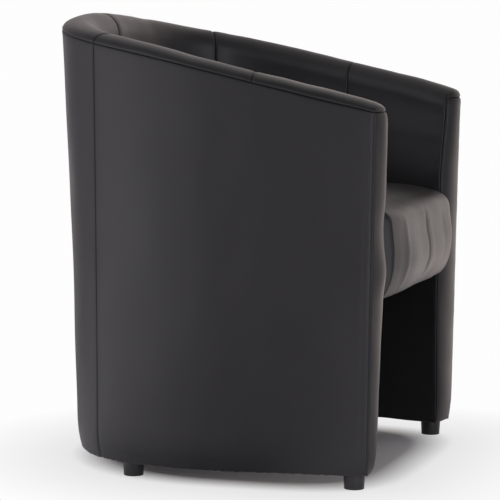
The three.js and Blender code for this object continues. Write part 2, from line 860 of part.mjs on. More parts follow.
// Feet: moulded glides whose studs screw up into the base rails
const up = new THREE.Vector3(0, 0, 1);
const footTop = shellClearance - fitGap;
const bossTop = baseBottom - fitGap;
const studBottom = bossTop - studGrip;
const studTop = baseTop - studCover;
const studLength = studTop - studBottom;
const footRadius = footDiameter / 2;
const studRadius = studDiameter / 2;
const studHoleRadius = studRadius + fitGap;
const footProfile = [
  [0, 0],
  [footBottomDiameter / 2 - footChamfer, 0],
  [footBottomDiameter / 2, footChamfer],
  [footRadius, footTop],
  [footBossDiameter / 2, footTop],
  [footBossDiameter / 2, bossTop],
  [studHoleRadius, bossTop],
  [studHoleRadius, studBottom - fitGap],
  [0, studBottom - fitGap],
];
const studProfile = [[0, 0], [studRadius, 0], [studRadius, studLength], [0, studLength]];
const footShares = {
  front: 1 - frontFootSetback / planLength,
  rear: rearSeamShare + rearFootSetback / planLength,
};
for (const [end, share] of Object.entries(footShares)) {
  for (const [side, sign] of [['left', 1], ['right', -1]]) {
    const place = wallPlace(share, () => hemThickness / 2, shellClearance);
    place.x *= sign;
    place.z = 0;
    addTurned(`foot_${end}_${side}`, footProfile, place, up, plastic, footSides);
    const studPlace = place.clone().setZ(studBottom);
    addTurned(`foot_stud_${end}_${side}`, studProfile, studPlace, up, steel, fastenerSides);
    const hole = toolAlong(studHoleRadius, studPlace, place.clone().setZ(studTop + fitGap));
    drill(baseRails[side], hole);
  }
}

// Seat bolts: through the seat rails and the inner wall into the ledgers
const boltRadius = boltDiameter / 2;
const boltHeight = (seatRailBottom + seatRailTop) / 2;
const boltShares = { front: 1 - frontBoltSetback / planLength, rear: rearBoltShare };
for (const [end, share] of Object.entries(boltShares)) {
  const covers = share > armSeamShare ? armCovers : quarterCovers;
  for (const [side, sign] of [['left', 1], ['right', -1]]) {
    const inner = wallPlace(share, (station) => seatRailTo(station) - boltSeatDepth, boltHeight);
    const outer = wallPlace(share, () => timberTo - boltGrip, boltHeight);
    inner.x *= sign;
    outer.x *= sign;
    const way = outer.clone().sub(inner).normalize();
    const reach = outer.distanceTo(inner);
    const profile = [
      [0, 0],
      [boltHeadDiameter / 2, 0],
      [boltHeadDiameter / 2, boltHeadHeight],
      [boltRadius, boltHeadHeight],
      [boltRadius, boltHeadHeight + reach],
      [0, boltHeadHeight + reach],
    ];
    const place = inner.clone().addScaledVector(way, -boltHeadHeight);
    addTurned(`seat_bolt_${end}_${side}`, profile, place, way, steel, fastenerSides);
    const hole = toolAlong(
      boltRadius + fitGap,
      inner.clone().addScaledVector(way, -cutOverrun),
      outer.clone().addScaledVector(way, fitGap),
    );
    const clamped = [seatRails[side], seatCover, covers[side]];
    const held = [armFoams[side], sideLiners[side], ledgers[side]];
    [...clamped, ...held].forEach((piece) => drill(piece, hole));
    drill(seatRails[side], toolAlong(
      boltHeadDiameter / 2 + fitGap,
      inner.clone().addScaledVector(way, -boltSeatDepth - cutOverrun),
      inner.clone().addScaledVector(way, fitGap),
    ));
  }
}

export default group;
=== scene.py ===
"""Tub chair: covers, padding, stitching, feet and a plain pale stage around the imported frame."""

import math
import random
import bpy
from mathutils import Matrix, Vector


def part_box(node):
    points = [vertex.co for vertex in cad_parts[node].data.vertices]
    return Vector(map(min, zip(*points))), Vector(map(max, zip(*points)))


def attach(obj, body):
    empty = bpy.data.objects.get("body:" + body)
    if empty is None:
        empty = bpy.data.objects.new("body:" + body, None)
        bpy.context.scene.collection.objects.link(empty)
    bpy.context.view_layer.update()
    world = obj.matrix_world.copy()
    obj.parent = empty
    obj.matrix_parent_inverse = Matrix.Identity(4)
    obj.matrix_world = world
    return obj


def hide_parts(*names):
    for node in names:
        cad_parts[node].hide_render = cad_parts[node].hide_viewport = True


bl_info = {
    "name": "Tub Chair",
    "version": (1, 0, 0),
    "blender": (4, 5, 0),
    "location": "View3D > Sidebar > Tub Chair",
    "description": "Upholsters a tub chair round its frame and sets it on a pale stage",
    "category": "Add Mesh",
}

import bpy
import numpy as np
from bpy.props import FloatProperty, FloatVectorProperty, PointerProperty
from mathutils import Vector

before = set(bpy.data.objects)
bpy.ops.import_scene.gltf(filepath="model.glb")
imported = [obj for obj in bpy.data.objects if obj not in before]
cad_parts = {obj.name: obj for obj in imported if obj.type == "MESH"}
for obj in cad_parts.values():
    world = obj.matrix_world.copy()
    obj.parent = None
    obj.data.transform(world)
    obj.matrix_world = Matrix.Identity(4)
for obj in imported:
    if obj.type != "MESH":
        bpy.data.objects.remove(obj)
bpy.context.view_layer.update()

BODY = "root"
SIDES = (("left", 1), ("right", -1))


def length(name, description, default):
    return FloatProperty(name=name, description=description, default=default, unit="LENGTH")


def share(name, description, default):
    return FloatProperty(name=name, description=description, default=default, subtype="FACTOR")


def colour(name, description, default):
    return FloatVectorProperty(
        name=name, description=description, default=default, subtype="COLOR", size=3, min=0, max=1
    )


class ChairSizes(bpy.types.PropertyGroup):
    """Sizes of the wall, the arm fronts and the seat"""

    width: length("Width", "Across the widest line", 0.692)
    depth: length("Depth", "Centre back to the front of the seat", 0.648)
    back_rim: length("Back rim", "Height of the rim at the centre back", 0.772)
    arm_rim: length("Arm rim", "Height of the rim at the arm fronts", 0.636)
    clearance: length("Clearance", "Floor to the underside of the wall", 0.026)
    front_width: length("Front width", "Across both arms at the front seams", 0.626)
    apron_reach: length("Apron reach", "How far the seat stands ahead of the front seams", 0.038)
    back_lean: length("Back lean", "How far the back leans out from hem to rim", 0.032)
    side_taper: length("Side taper", "How far the sides draw in towards the hem", 0.003)
    hem_tuck: length("Hem tuck", "How far the outer face tucks in at the hem", 0.007)
    hem_height: length("Hem height", "Height over which the outer face tucks in", 0.060)
    arm_rake: length("Arm rake", "How far the arm fronts lean forward", 0.006)
    rim_thickness: length("Rim thickness", "Thickness of the wall at the rim", 0.062)
    arm_thickness: length("Arm thickness", "Thickness of the arms beside the seat", 0.080)
    back_thickness: length("Back thickness", "Thickness of the back behind the seat", 0.096)
    hem_thickness: length("Hem thickness", "Thickness of the wall at the hem", 0.062)
    outer_drop: length("Outer drop", "Crown of the rim to the outer seam", 0.016)
    inner_drop: length("Inner drop", "Crown of the rim to the straight inner face", 0.034)
    rim_dip: length("Rim dip", "How far the rim's crown comes down at the arm fronts", 0.0010)
    dip_reach: length("Dip reach", "Where the rim's crown starts to come down", 0.030)
    rim_rise: length("Rim rise", "How much higher than drawn the left arm came out", 0.0036)
    rim_sag: length("Rim sag", "How much lower than drawn the right arm came out", 0.0042)
    front_pad: length("Front pad", "How far the arm fronts are padded out", 0.022)
    hem_turn: length("Hem turn", "Width of leather turned under the wall", 0.018)
    hem_radius: length("Hem radius", "Radius of the folded hem", 0.004)
    seat_edge: length("Seat edge", "Height of the seat's edge", 0.446)
    seat_crown: length("Seat crown", "Rise of the seat's middle over its edge", 0.014)
    seat_bottom: length("Seat bottom", "Height of the underside of the seat", 0.311)
    seat_side_radius: length("Seat side radius", "Rounding of the seat beside the wall", 0.020)
    seat_front_radius: length("Seat front radius", "Rounding of the seat's front edge", 0.035)
    seat_fill: length("Seat fill", "How far the filling lifts the seat's top", 0.012)
    seat_brow: length("Seat brow", "How far the seat's front edge rounds down", 0.011)
    seat_bow: length("Seat bow", "How far the seat's front corners fall back", 0.010)
    seat_corner: length("Seat corner", "Rounding of the seat's front corners", 0.017)
    corner_setback: length("Corner setback", "Where the seat leaves the arms", 0.045)
    front_setback: length("Front setback", "How far the filled seat stays behind its full depth", 0.010)
    undercut: length("Undercut", "How far the apron curves back under", 0.026)
    leather: length("Leather", "Thickness of the leather", 0.0015)
    wadding: length("Wadding", "How far wadding lifts the leather off the frame", 0.0015)
    seam_gap: length("Seam gap", "Opening between two sewn panels", 0.0001)
    seam_width: length("Seam width", "How far from a seam the leather starts to roll in", 0.0038)
    seam_sink: length("Seam sink", "How far a seam is drawn in under the frame's outline", 0.0014)
    stitch: length("Stitch", "Length of one topstitch", 0.0038)
    stitch_pitch: length("Stitch pitch", "One topstitch to the next", 0.0052)
    thread: length("Thread", "Thickness of the sewing thread", 0.0008)
    rear_seam: share("Rear seam", "Share of the way round where the rear seams fall", 0.418)
    arm_seam: share("Arm seam", "Share of the way round where the arm seams fall", 0.767)
    foot_width: length("Foot width", "Across a foot", 0.036)
    foot_taper: length("Foot taper", "How much narrower a foot is at the floor", 0.003)


class ChairColours(bpy.types.PropertyGroup):
    """Colours of the chair's materials"""

    leather: colour("Leather", "Faux leather", (0.0088, 0.0082, 0.0090))
    thread: colour("Thread", "Sewing thread", (0.030, 0.029, 0.031))
    plastic: colour("Plastic", "Feet", (0.020, 0.020, 0.021))
    foam: colour("Foam", "Padding", (0.68, 0.60, 0.40))
    timber: colour("Timber", "Posts, rails and boards", (0.50, 0.31, 0.15))
    board: colour("Board", "Bent fibre board", (0.23, 0.13, 0.07))
    webbing: colour("Webbing", "Elastic straps", (0.045, 0.045, 0.050))
    lining: colour("Lining", "Cloth under the seat", (0.016, 0.016, 0.017))
    steel: colour("Steel", "Plated fasteners", (0.60, 0.61, 0.62))
    floor: colour("Floor", "Studio floor", (0.86, 0.865, 0.87))


# Shapes shared by the pieces


def mix(a, b, t):
    return a + (b - a) * t


def smooth(low, high, value):
    t = np.clip((value - low) / (high - low), 0, 1)
    return t * t * (3 - 2 * t)


WAVES = 7
WAVE_SPREAD = (0.6, 1.7)
STEP_GROWTH = 0.45
NUDGE = 1e-4
NEARLY_FRONT = 1.0 - 1e-6
NO_LENGTH = 1e-12
WELD_REACH = 2e-5


def wander(across, along, pitch, seed):
    """A soft field of bumps, about one high, that never repeats evenly."""
    draw = random.Random(seed)
    total = np.zeros(np.broadcast(across, along).shape)
    for _ in range(WAVES):
        turn = draw.uniform(0, math.tau)
        size = pitch * draw.uniform(*WAVE_SPREAD)
        phase = draw.uniform(0, math.tau)
        way = across * math.cos(turn) + along * math.sin(turn)
        total += np.sin(way * math.tau / size + phase)
    return total / math.sqrt(2 * WAVES)


def ripple(size, across, along, seed):
    """Unevenness of the leather, its size given as a depth and a pitch."""
    depth, pitch = size
    return depth * wander(across, along, pitch, seed)


def march(total, step, features=()):
    """Distances from 0 to total, closer together near each feature: place, least step, reach."""
    places = [0.0]
    while places[-1] < total:
        here = places[-1]
        near = [least + STEP_GROWTH * max(0, abs(here - at) - reach) for at, least, reach in features]
        places.append(here + min([step, *near]))
    return np.array(places) * (total / places[-1])


class Wall:
    """The horseshoe wall.

    A share runs from 0 at the centre back to 1 at an arm front, and is negative on the right.
    """

    DIVISIONS = 2000
    SQUARENESS = 0.07
    TAPER_POWER = 1.5
    FALL_POWER = 1.64
    LEAN_POWER = 1.6
    LOW_SWELL = 0.3
    HIGH_SWELL = 0.45
    PLY = 0.0246
    LEAN_LIMIT = 1.2
    FOLD_STEPS = 8
    OUTER_STEPS = 120
    ARCH_STEPS = 61
    INNER_STEPS = 160

    # Where the right rim sags and eases again, and where the left rim rises, as shares
    SAG_SPAN = (0.50, 0.80)
    EASE_SPAN = (0.88, 1.0)
    EASE_SHARE = 0.6
    RISE_SPAN = (0.72, 0.96)

    def __init__(self, sizes):
        self.sizes = sizes
        self.half_width = sizes.width / 2
        self.half_depth = sizes.depth / 2
        self.arm_length = self.half_depth - sizes.apron_reach
        self.turns = np.linspace(0, 1, self.DIVISIONS + 1)
        steps = np.diff(self.plan(self.turns), axis=0)
        self.way = np.concatenate([[0], np.cumsum(np.hypot(steps[:, 0], steps[:, 1]))])
        self.length = self.way[-1]

    def plan(self, turns):
        turn = np.minimum(turns, 0.5) * math.pi
        fuller = 1 + self.SQUARENESS * np.sin(2 * turn) ** 2
        forward = np.maximum(turns - 0.5, 0) / 0.5
        narrowing = (self.sizes.width - self.sizes.front_width) / 2
        x = self.half_width * np.sin(turn) * fuller - narrowing * forward**self.TAPER_POWER
        y = self.half_depth * np.cos(turn) * fuller - self.arm_length * forward
        return np.stack([x, y], axis=-1)

    def point(self, shares):
        return self.plan(np.interp(np.abs(shares) * self.length, self.way, self.turns))

    def stand(self, shares):
        """What the wall is like at each share."""
        s = self.sizes
        shares = np.atleast_1d(np.asarray(shares, float))
        size = np.abs(shares)
        here = self.point(size)
        before = self.point(np.maximum(size - NUDGE, 0))
        after = self.point(np.minimum(size + NUDGE, 1))
        way = after - before
        way /= np.linalg.norm(way, axis=1, keepdims=True)
        outward = np.stack([-way[:, 1], way[:, 0]], axis=1)
        eased = 1 - self.EASE_SHARE * smooth(*self.EASE_SPAN, size)
        sag = -s.rim_sag * smooth(*self.SAG_SPAN, size) * eased
        uneven = np.where(shares < 0, sag, s.rim_rise * smooth(*self.RISE_SPAN, size))
        rim = s.back_rim - (s.back_rim - s.arm_rim) * size**self.FALL_POWER + uneven
        seam = rim - s.outer_drop
        ahead = np.clip(1 - (1 - size) * self.length / s.dip_reach, 0, 1)
        crest = rim - s.rim_dip * ahead**2
        backward = outward[:, 1] ** 2
        thick = mix(s.arm_thickness, s.back_thickness, backward)
        low = np.full(len(size), s.seat_bottom - s.seat_side_radius)
        high = np.full(len(size), s.seat_edge + s.seat_side_radius)
        floor = np.full(len(size), s.clearance)
        hem = np.full(len(size), s.hem_thickness)
        top = np.full(len(size), s.rim_thickness)
        return {
            "share": shares,
            "side": np.where(shares < 0, -1.0, 1.0),
            "point": here,
            "way": way,
            "outward": outward,
            "rim": rim,
            "frame_rim": rim - uneven,
            "crest": crest,
            "seam": seam,
            "backward": backward,
            "forward": np.maximum(-here[:, 1], 0) / self.arm_length,
            "levels": np.stack(
                [floor, floor + self.PLY, low, high, (high + seam) / 2, rim - s.inner_drop], axis=1
            ),
            "depths": np.stack(
                [
                    hem,
                    mix(hem, thick, self.LOW_SWELL),
                    thick,
                    thick,
                    mix(top, thick, self.HIGH_SWELL),
                    top,
                ],
                axis=1,
            ),
        }

    def thickness(self, stand, height):
        """Outer face to inner face, as one smooth curve through the levels."""
        levels, depths = stand["levels"], stand["depths"]
        rise = np.diff(depths, axis=1) / np.diff(levels, axis=1)
        before, after = rise[:, :-1], rise[:, 1:]
        same = before * after > 0
        inner = np.where(same, 2 * before * after / np.where(same, before + after, 1), 0)
        flat = np.zeros((len(levels), 1))
        slopes = np.concatenate([flat, inner, flat], axis=1)
        height = np.clip(height, levels[:, :1], levels[:, -1:])
        k = np.clip(
            np.sum(height[:, :, None] >= levels[:, None, :], axis=2) - 1, 0, levels.shape[1] - 2
        )

        def pick(values, index):
            return np.take_along_axis(values, index, axis=1)

        low, high = pick(levels, k), pick(levels, k + 1)
        gap = high - low
        t = (height - low) / gap
        return (
            pick(depths, k) * (2 * t**3 - 3 * t**2 + 1)
            + pick(slopes, k) * gap * (t**3 - 2 * t**2 + t)
            + pick(depths, k + 1) * (3 * t**2 - 2 * t**3)
            + pick(slopes, k + 1) * gap * (t**3 - t**2)
        )

    def inset(self, stand, height):
        s = self.sizes
        rise = np.clip((height - s.clearance) / (stand["seam"][:, None] - s.clearance), 0, None)
        lean = s.back_lean * (1 - np.minimum(rise, self.LEAN_LIMIT) ** self.LEAN_POWER)
        lean = np.maximum(lean, 0)
        taper = s.side_taper * np.maximum(1 - rise, 0) ** 2
        tuck = s.hem_tuck * np.clip(1 - (height - s.clearance) / s.hem_height, 0, 1) ** 2
        return mix(taper, lean, stand["backward"][:, None]) + tuck

    def place(self, stand, depth, height):
        """Points at depths behind the outer face, one row for each share."""
        s = self.sizes
        back = self.inset(stand, height) + depth
        rise = np.clip((height - s.clearance) / (stand["seam"][:, None] - s.clearance), 0, 1)
        rake = s.arm_rake * stand["forward"][:, None] ** 2 * rise
        x = stand["point"][:, :1] - stand["outward"][:, :1] * back
        y = stand["point"][:, 1:] - stand["outward"][:, 1:] * back - rake
        return np.stack([x * stand["side"][:, None], y, height + 0 * x], axis=-1)

    def outer_path(self, stand):
        """Depths and heights from the turned hem up the outer face to the seam under the rim."""
        s = self.sizes
        fold = np.linspace(0, math.pi / 2, self.FOLD_STEPS)
        rise = np.linspace(0, 1, self.OUTER_STEPS)[1:]
        under = np.linspace(s.hem_turn, s.hem_radius, self.FOLD_STEPS)[:-1]
        depth = np.concatenate([under, s.hem_radius * (1 - np.sin(fold)), 0 * rise])
        start = s.clearance + s.hem_radius
        top = stand["seam"][:, None]
        corner = s.clearance + s.hem_radius * (1 - np.cos(fold))
        low = np.concatenate([np.full(len(under), s.clearance), corner])
        count = len(stand["rim"])
        height = np.concatenate(
            [np.tile(low, (count, 1)), start + (top - start) * rise[None, :]], axis=1
        )
        return np.tile(depth, (count, 1)), height

    def arch(self, stand, turns, offset=0.0):
        """Depths and heights over the rolled rim, offset inwards from the leather."""
        s = self.sizes
        half = s.rim_thickness / 2
        crest = stand["crest"][:, None]
        inner_foot = stand["rim"][:, None] - s.inner_drop
        foot = np.where(turns <= math.pi / 2, stand["seam"][:, None], inner_foot)
        depth = offset + (half - offset) * (1 - np.cos(turns))
        height = foot + (crest - foot - offset) * np.sin(turns)
        return np.tile(depth, (len(crest), 1)), height

    def inner_path(self, stand):
        """Depths and heights from the outer seam over the rim and down to the turned hem."""
        s = self.sizes
        count = len(stand["rim"])
        rim_depth, rim_height = self.arch(stand, np.linspace(0, math.pi, self.ARCH_STEPS))
        fall = np.linspace(0, 1, self.INNER_STEPS)[1:]
        low = s.clearance + s.hem_radius
        height = mix(rim_height[:, -1:], low, fall[None, :])
        depth = self.thickness(stand, height)
        fold = np.linspace(0, math.pi / 2, self.FOLD_STEPS)[1:]
        foot = depth[:, -1:]
        fold_depth = foot - s.hem_radius * (1 - np.cos(fold))
        fold_height = np.tile(low - s.hem_radius * np.sin(fold), (count, 1))
        under = np.linspace(s.hem_radius, s.hem_turn, self.FOLD_STEPS)[1:]
        under_depth = foot - under
        under_height = np.full((count, len(under)), s.clearance)
        return (
            np.concatenate([rim_depth, depth, fold_depth, under_depth], axis=1),
            np.concatenate([rim_height, height, fold_height, under_height], axis=1),
        )


def sampled(wall, stand, path, targets):
    """Places along each path at the same shares of its length, and how far along they are."""
    depth, height = path
    behind = depth + wall.inset(stand, height)
    steps = np.hypot(np.diff(behind, axis=1), np.diff(height, axis=1))
    along = np.concatenate([np.zeros((len(depth), 1)), np.cumsum(steps, axis=1)], axis=1)
    want = targets[None, :] * (along[:, -1:] / targets[-1])
    rows = range(len(depth))
    picked = np.array([np.interp(want[k], along[k], depth[k]) for k in rows])
    raised = np.array([np.interp(want[k], along[k], height[k]) for k in rows])
    return wall.place(stand, picked, raised), want, picked, raised


def normals_of(points, core):
    """Unit normals of a grid of points, pointing away from its core."""
    across = np.gradient(points, axis=1)
    along = np.gradient(points, axis=0)
    normal = np.cross(across, along)
    normal /= np.maximum(np.linalg.norm(normal, axis=2, keepdims=True), NO_LENGTH)
    if np.sum(normal * (points - core)) < 0:
        normal = -normal
    return normal


# Blender helpers


def deselect():
    bpy.ops.object.select_all(action="DESELECT")


def take(piece):
    deselect()
    piece.select_set(True)
    bpy.context.view_layer.objects.active = piece


def edit(piece, action):
    take(piece)
    bpy.ops.object.mode_set(mode="EDIT")
    bpy.ops.mesh.select_all(action="SELECT")
    action()
    bpy.ops.object.mode_set(mode="OBJECT")


def add_grid(name, points, normals, marks=None):
    """A grid primitive laid over rows of points, its faces turned the way of the normals."""
    rows, columns = points.shape[:2]
    deselect()
    bpy.ops.mesh.primitive_grid_add(x_subdivisions=columns - 1, y_subdivisions=rows - 1, size=1)
    piece = bpy.context.object
    piece.name = piece.data.name = name
    piece.data.vertices.foreach_set("co", points.reshape(-1).astype(np.float32))
    piece.data.update()
    if marks is not None:
        # seam_near: how near a seam each point lies; it darkens the leather there with dust and painted
        # shade, and dulls it
        layer = piece.data.attributes.new("seam_near", "FLOAT", "POINT")
        layer.data.foreach_set("value", marks.reshape(-1).astype(np.float32))
    faces = np.zeros(len(piece.data.polygons) * 3)
    piece.data.polygons.foreach_get("normal", faces)
    wanted = normals[:-1, :-1].reshape(-1, 3)
    if np.sum(faces.reshape(-1, 3) * wanted) < 0:
        edit(piece, bpy.ops.mesh.flip_normals)
    return piece


def modify(piece, kind, **settings):
    take(piece)
    bpy.ops.object.modifier_add(type=kind)
    modifier = piece.modifiers[-1]
    for key, value in settings.items():
        setattr(modifier, key, value)
    bpy.ops.object.modifier_apply(modifier=modifier.name)


def thicken(piece, thickness):
    """Gives a skin its wall, inwards."""
    modify(piece, "SOLIDIFY", thickness=thickness, offset=-1, use_even_offset=False)


def soften(piece, degrees=50):
    take(piece)
    bpy.ops.object.shade_smooth_by_angle(angle=math.radians(degrees))


def weld(pieces, name):
    """Joins pieces into one and merges the points that they share."""
    take(pieces[0])
    for piece in pieces[1:]:
        piece.select_set(True)
    bpy.ops.object.join()
    piece = bpy.context.object
    piece.name = piece.data.name = name
    edit(piece, lambda: bpy.ops.mesh.remove_doubles(threshold=WELD_REACH))
    return piece


def dress(piece, material, slot, *nodes):
    """Gives a finished piece its material and its body, and hides the solids that it stands for."""
    piece.data.materials.clear()
    piece.data.materials.append(material)
    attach(piece, BODY)
    if nodes:
        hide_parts(*nodes)
    return piece


# Materials


def new_material(name):
    material = bpy.data.materials.new(name)
    material.use_nodes = True
    tree = material.node_tree
    return material, tree, tree.nodes["Principled BSDF"]


def add_node(tree, kind, inputs=None, **settings):
    """A node with its settings, and each input set to a number or linked to a socket."""
    made = tree.nodes.new(kind)
    for key, value in settings.items():
        setattr(made, key, value)
    fill_inputs(tree, made, inputs or {})
    return made


def fill_inputs(tree, made, inputs):
    for key, value in inputs.items():
        if isinstance(value, bpy.types.NodeSocket):
            tree.links.new(value, made.inputs[key])
        else:
            made.inputs[key].default_value = value


def opaque(colour):
    return (*colour, 1)


def place_of(tree):
    return add_node(tree, "ShaderNodeTexCoord").outputs["Object"]


def noise(tree, place, scale, detail=3, rough=0.55):
    made = add_node(
        tree,
        "ShaderNodeTexNoise",
        {"Vector": place, "Scale": scale, "Detail": detail, "Roughness": rough},
    )
    return made.outputs["Fac"]


def ranged(tree, value, low, high, from_low=0.3, from_high=0.7):
    made = add_node(
        tree,
        "ShaderNodeMapRange",
        {"Value": value, "From Min": from_low, "From Max": from_high, "To Min": low, "To Max": high},
    )
    return made.outputs["Result"]


def sums(tree, operation, a, b):
    return add_node(tree, "ShaderNodeMath", {0: a, 1: b}, operation=operation).outputs[0]


def vector_math(tree, operation, *values):
    return add_node(tree, "ShaderNodeVectorMath", dict(enumerate(values)), operation=operation)


def blend(tree, factor, a, b):
    made = add_node(tree, "ShaderNodeMix", {0: factor, 6: a, 7: b}, data_type="RGBA")
    return made.outputs[2]


def bump(tree, height, strength, distance):
    made = add_node(
        tree, "ShaderNodeBump", {"Height": height, "Strength": strength, "Distance": distance}
    )
    return made.outputs["Normal"]


def fill_surface(tree, shader, base, rough, relief):
    fill_inputs(tree, shader, {"Base Color": base, "Roughness": rough, "Normal": relief})


def tinted(colour, factor):
    return opaque([min(1, value * factor) for value in colour])


GRAIN_CELLS = 640
GRAIN_DEPTH = 0.00022
GRAIN_SHIFT = (0.0022, 0.0022, 0.0022)
SPARK_DEPTH = 0.0001
SCUFF_HEIGHT = 0.012
PLY_DEPTH = 0.0001
PORE_DEPTH = 0.0006
FIBRE_DEPTH = 0.0003
RIB_DEPTH = 0.0005
GRIND_DEPTH = 0.0001


def leather_material(colours):
    """Embossed faux leather: a fine pebbled grain, a soft gloss, and dull seams, darkened partly by
    dust and partly by painted shade in their creases.
    """
    material, tree, shader = new_material("faux_leather")
    place = place_of(tree)
    drift = noise(tree, place, 160, 2)
    push = vector_math(tree, "MULTIPLY", drift, GRAIN_SHIFT).outputs[0]
    moved = vector_math(tree, "ADD", place, push)
    cells = add_node(
        tree,
        "ShaderNodeTexVoronoi",
        {"Vector": moved.outputs[0], "Scale": GRAIN_CELLS, "Randomness": 0.9},
        feature="DISTANCE_TO_EDGE",
    )
    pebble = ranged(tree, cells.outputs["Distance"], 0, 1, 0.0, 0.22)
    pores = noise(tree, place, 2600, 2)
    grain = sums(tree, "ADD", pebble, sums(tree, "MULTIPLY", pores, 0.35))
    cloud = noise(tree, place, 7, 4)
    fleck = noise(tree, place, 420, 3)
    seam = add_node(tree, "ShaderNodeAttribute", attribute_name="seam_near").outputs["Fac"]
    base = blend(
        tree,
        ranged(tree, cloud, 0, 1),
        tinted(colours.leather, 0.82),
        tinted(colours.leather, 1.25),
    )
    base = blend(tree, sums(tree, "MULTIPLY", fleck, 0.25), base, tinted(colours.leather, 1.7))
    # Darker near the seams: partly dust, partly painted shade in the seam creases.
    base = blend(tree, sums(tree, "MULTIPLY", seam, 0.55), base, tinted(colours.leather, 0.45))
    gloss = ranged(tree, cloud, 0.40, 0.50)
    gloss = sums(tree, "ADD", gloss, sums(tree, "MULTIPLY", seam, 0.12))
    gloss = sums(tree, "SUBTRACT", gloss, sums(tree, "MULTIPLY", pebble, 0.035))
    fill_surface(tree, shader, base, gloss, bump(tree, grain, 0.30, GRAIN_DEPTH))
    shader.inputs["Specular IOR Level"].default_value = 0.5
    return material


def thread_material(colours):
    material, tree, shader = new_material("sewing_thread")
    place = place_of(tree)
    ply = noise(tree, place, 3000, 2)
    base = blend(tree, ply, tinted(colours.thread, 0.7), tinted(colours.thread, 1.4))
    fill_surface(tree, shader, base, 0.55, bump(tree, ply, 0.5, PLY_DEPTH))
    shader.inputs["Sheen Weight"].default_value = 0.2
    return material


def plastic_material(colours):
    """Moulded plastic with a fine spark-eroded texture and scuffs towards the floor."""
    material, tree, shader = new_material("moulded_plastic")
    place = place_of(tree)
    spark = noise(tree, place, 2200, 3)
    scuff = noise(tree, place, 180, 5, 0.7)
    height = add_node(tree, "ShaderNodeSeparateXYZ", {0: place}).outputs["Z"]
    low = ranged(tree, height, 1, 0, 0.0, SCUFF_HEIGHT)
    worn = sums(tree, "MULTIPLY", low, ranged(tree, scuff, 0, 1, 0.5, 0.65))
    base = blend(tree, scuff, tinted(colours.plastic, 0.8), tinted(colours.plastic, 1.3))
    base = blend(tree, sums(tree, "MULTIPLY", worn, 0.5), base, tinted(colours.plastic, 4))
    gloss = sums(tree, "ADD", ranged(tree, scuff, 0.36, 0.48), sums(tree, "MULTIPLY", worn, 0.2))
    fill_surface(tree, shader, base, gloss, bump(tree, spark, 0.25, SPARK_DEPTH))
    return material


def foam_material(colours):
    material, tree, shader = new_material("cut_foam")
    place = place_of(tree)
    pores = add_node(tree, "ShaderNodeTexVoronoi", {"Vector": place, "Scale": 900})
    cloud = noise(tree, place, 14, 3)
    base = blend(tree, cloud, tinted(colours.foam, 0.85), tinted(colours.foam, 1.1))
    # Painted shade: the pores are darkened where shade would fall into them.
    shaded = ranged(tree, pores.outputs["Distance"], 0.5, 0, 0.0, 0.5)
    base = blend(tree, shaded, base, tinted(colours.foam, 0.5))
    relief = bump(tree, pores.outputs["Distance"], 0.6, PORE_DEPTH)
    fill_surface(tree, shader, base, 0.95, relief)
    return material


def wood_material(name, tint, stretch, rings):
    """Wood or fibre board, its figure drawn out along one direction."""
    material, tree, shader = new_material(name)
    place = place_of(tree)
    drawn = add_node(tree, "ShaderNodeMapping", {"Vector": place, "Scale": stretch}).outputs[0]
    figure = noise(tree, drawn, rings, 5, 0.65)
    fibre = noise(tree, drawn, rings * 9, 3)
    base = blend(tree, ranged(tree, figure, 0, 1), tinted(tint, 0.6), tinted(tint, 1.3))
    base = blend(tree, sums(tree, "MULTIPLY", fibre, 0.3), base, tinted(tint, 0.45))
    rough = ranged(tree, figure, 0.62, 0.8)
    fill_surface(tree, shader, base, rough, bump(tree, fibre, 0.35, FIBRE_DEPTH))
    return material


def webbing_material(colours):
    """Elastic webbing: fine even ribs, under a little pale lint."""
    material, tree, shader = new_material("elastic_webbing")
    place = place_of(tree)
    ribs = add_node(
        tree, "ShaderNodeTexWave", {"Vector": place, "Scale": 160, "Distortion": 0.4}
    ).outputs["Fac"]
    lint = noise(tree, place, 700, 3)
    base = blend(tree, ribs, tinted(colours.webbing, 0.6), tinted(colours.webbing, 1.6))
    base = blend(tree, sums(tree, "MULTIPLY", lint, 0.3), base, tinted(colours.webbing, 2.4))
    fill_surface(tree, shader, base, 0.85, bump(tree, ribs, 0.6, RIB_DEPTH))
    return material


def lining_material(colours):
    """Spun-bonded cloth with its grid of pressed dots."""
    material, tree, shader = new_material("spunbond_lining")
    place = place_of(tree)
    dots = add_node(
        tree, "ShaderNodeTexVoronoi", {"Vector": place, "Scale": 520, "Randomness": 0.15}
    ).outputs["Distance"]
    fibre = noise(tree, place, 900, 4, 0.7)
    cloud = noise(tree, place, 30, 3)
    base = blend(tree, fibre, tinted(colours.lining, 0.6), tinted(colours.lining, 1.8))
    base = blend(tree, sums(tree, "MULTIPLY", cloud, 0.3), base, tinted(colours.lining, 0.6))
    relief = bump(tree, sums(tree, "ADD", dots, fibre), 0.5, FIBRE_DEPTH)
    fill_surface(tree, shader, base, 0.9, relief)
    return material


def steel_material(colours):
    material, tree, shader = new_material("plated_steel")
    place = place_of(tree)
    stain = noise(tree, place, 90, 4, 0.65)
    grind = noise(tree, place, 1500, 2)
    patches = ranged(tree, stain, 0, 1)
    base = blend(tree, patches, tinted(colours.steel, 0.75), tinted(colours.steel, 1.1))
    rough = ranged(tree, stain, 0.25, 0.42)
    fill_surface(tree, shader, base, rough, bump(tree, grind, 0.2, GRIND_DEPTH))
    shader.inputs["Metallic"].default_value = 1.0
    return material


def made_material(name, make):
    """A material by its name, made when it is first wanted."""
    return bpy.data.materials.get(name) or make()


def leather_of(context):
    return made_material("faux_leather", lambda: leather_material(context.scene.chair_colours))


def thread_of(context):
    return made_material("sewing_thread", lambda: thread_material(context.scene.chair_colours))


def foam_of(context):
    return made_material("cut_foam", lambda: foam_material(context.scene.chair_colours))


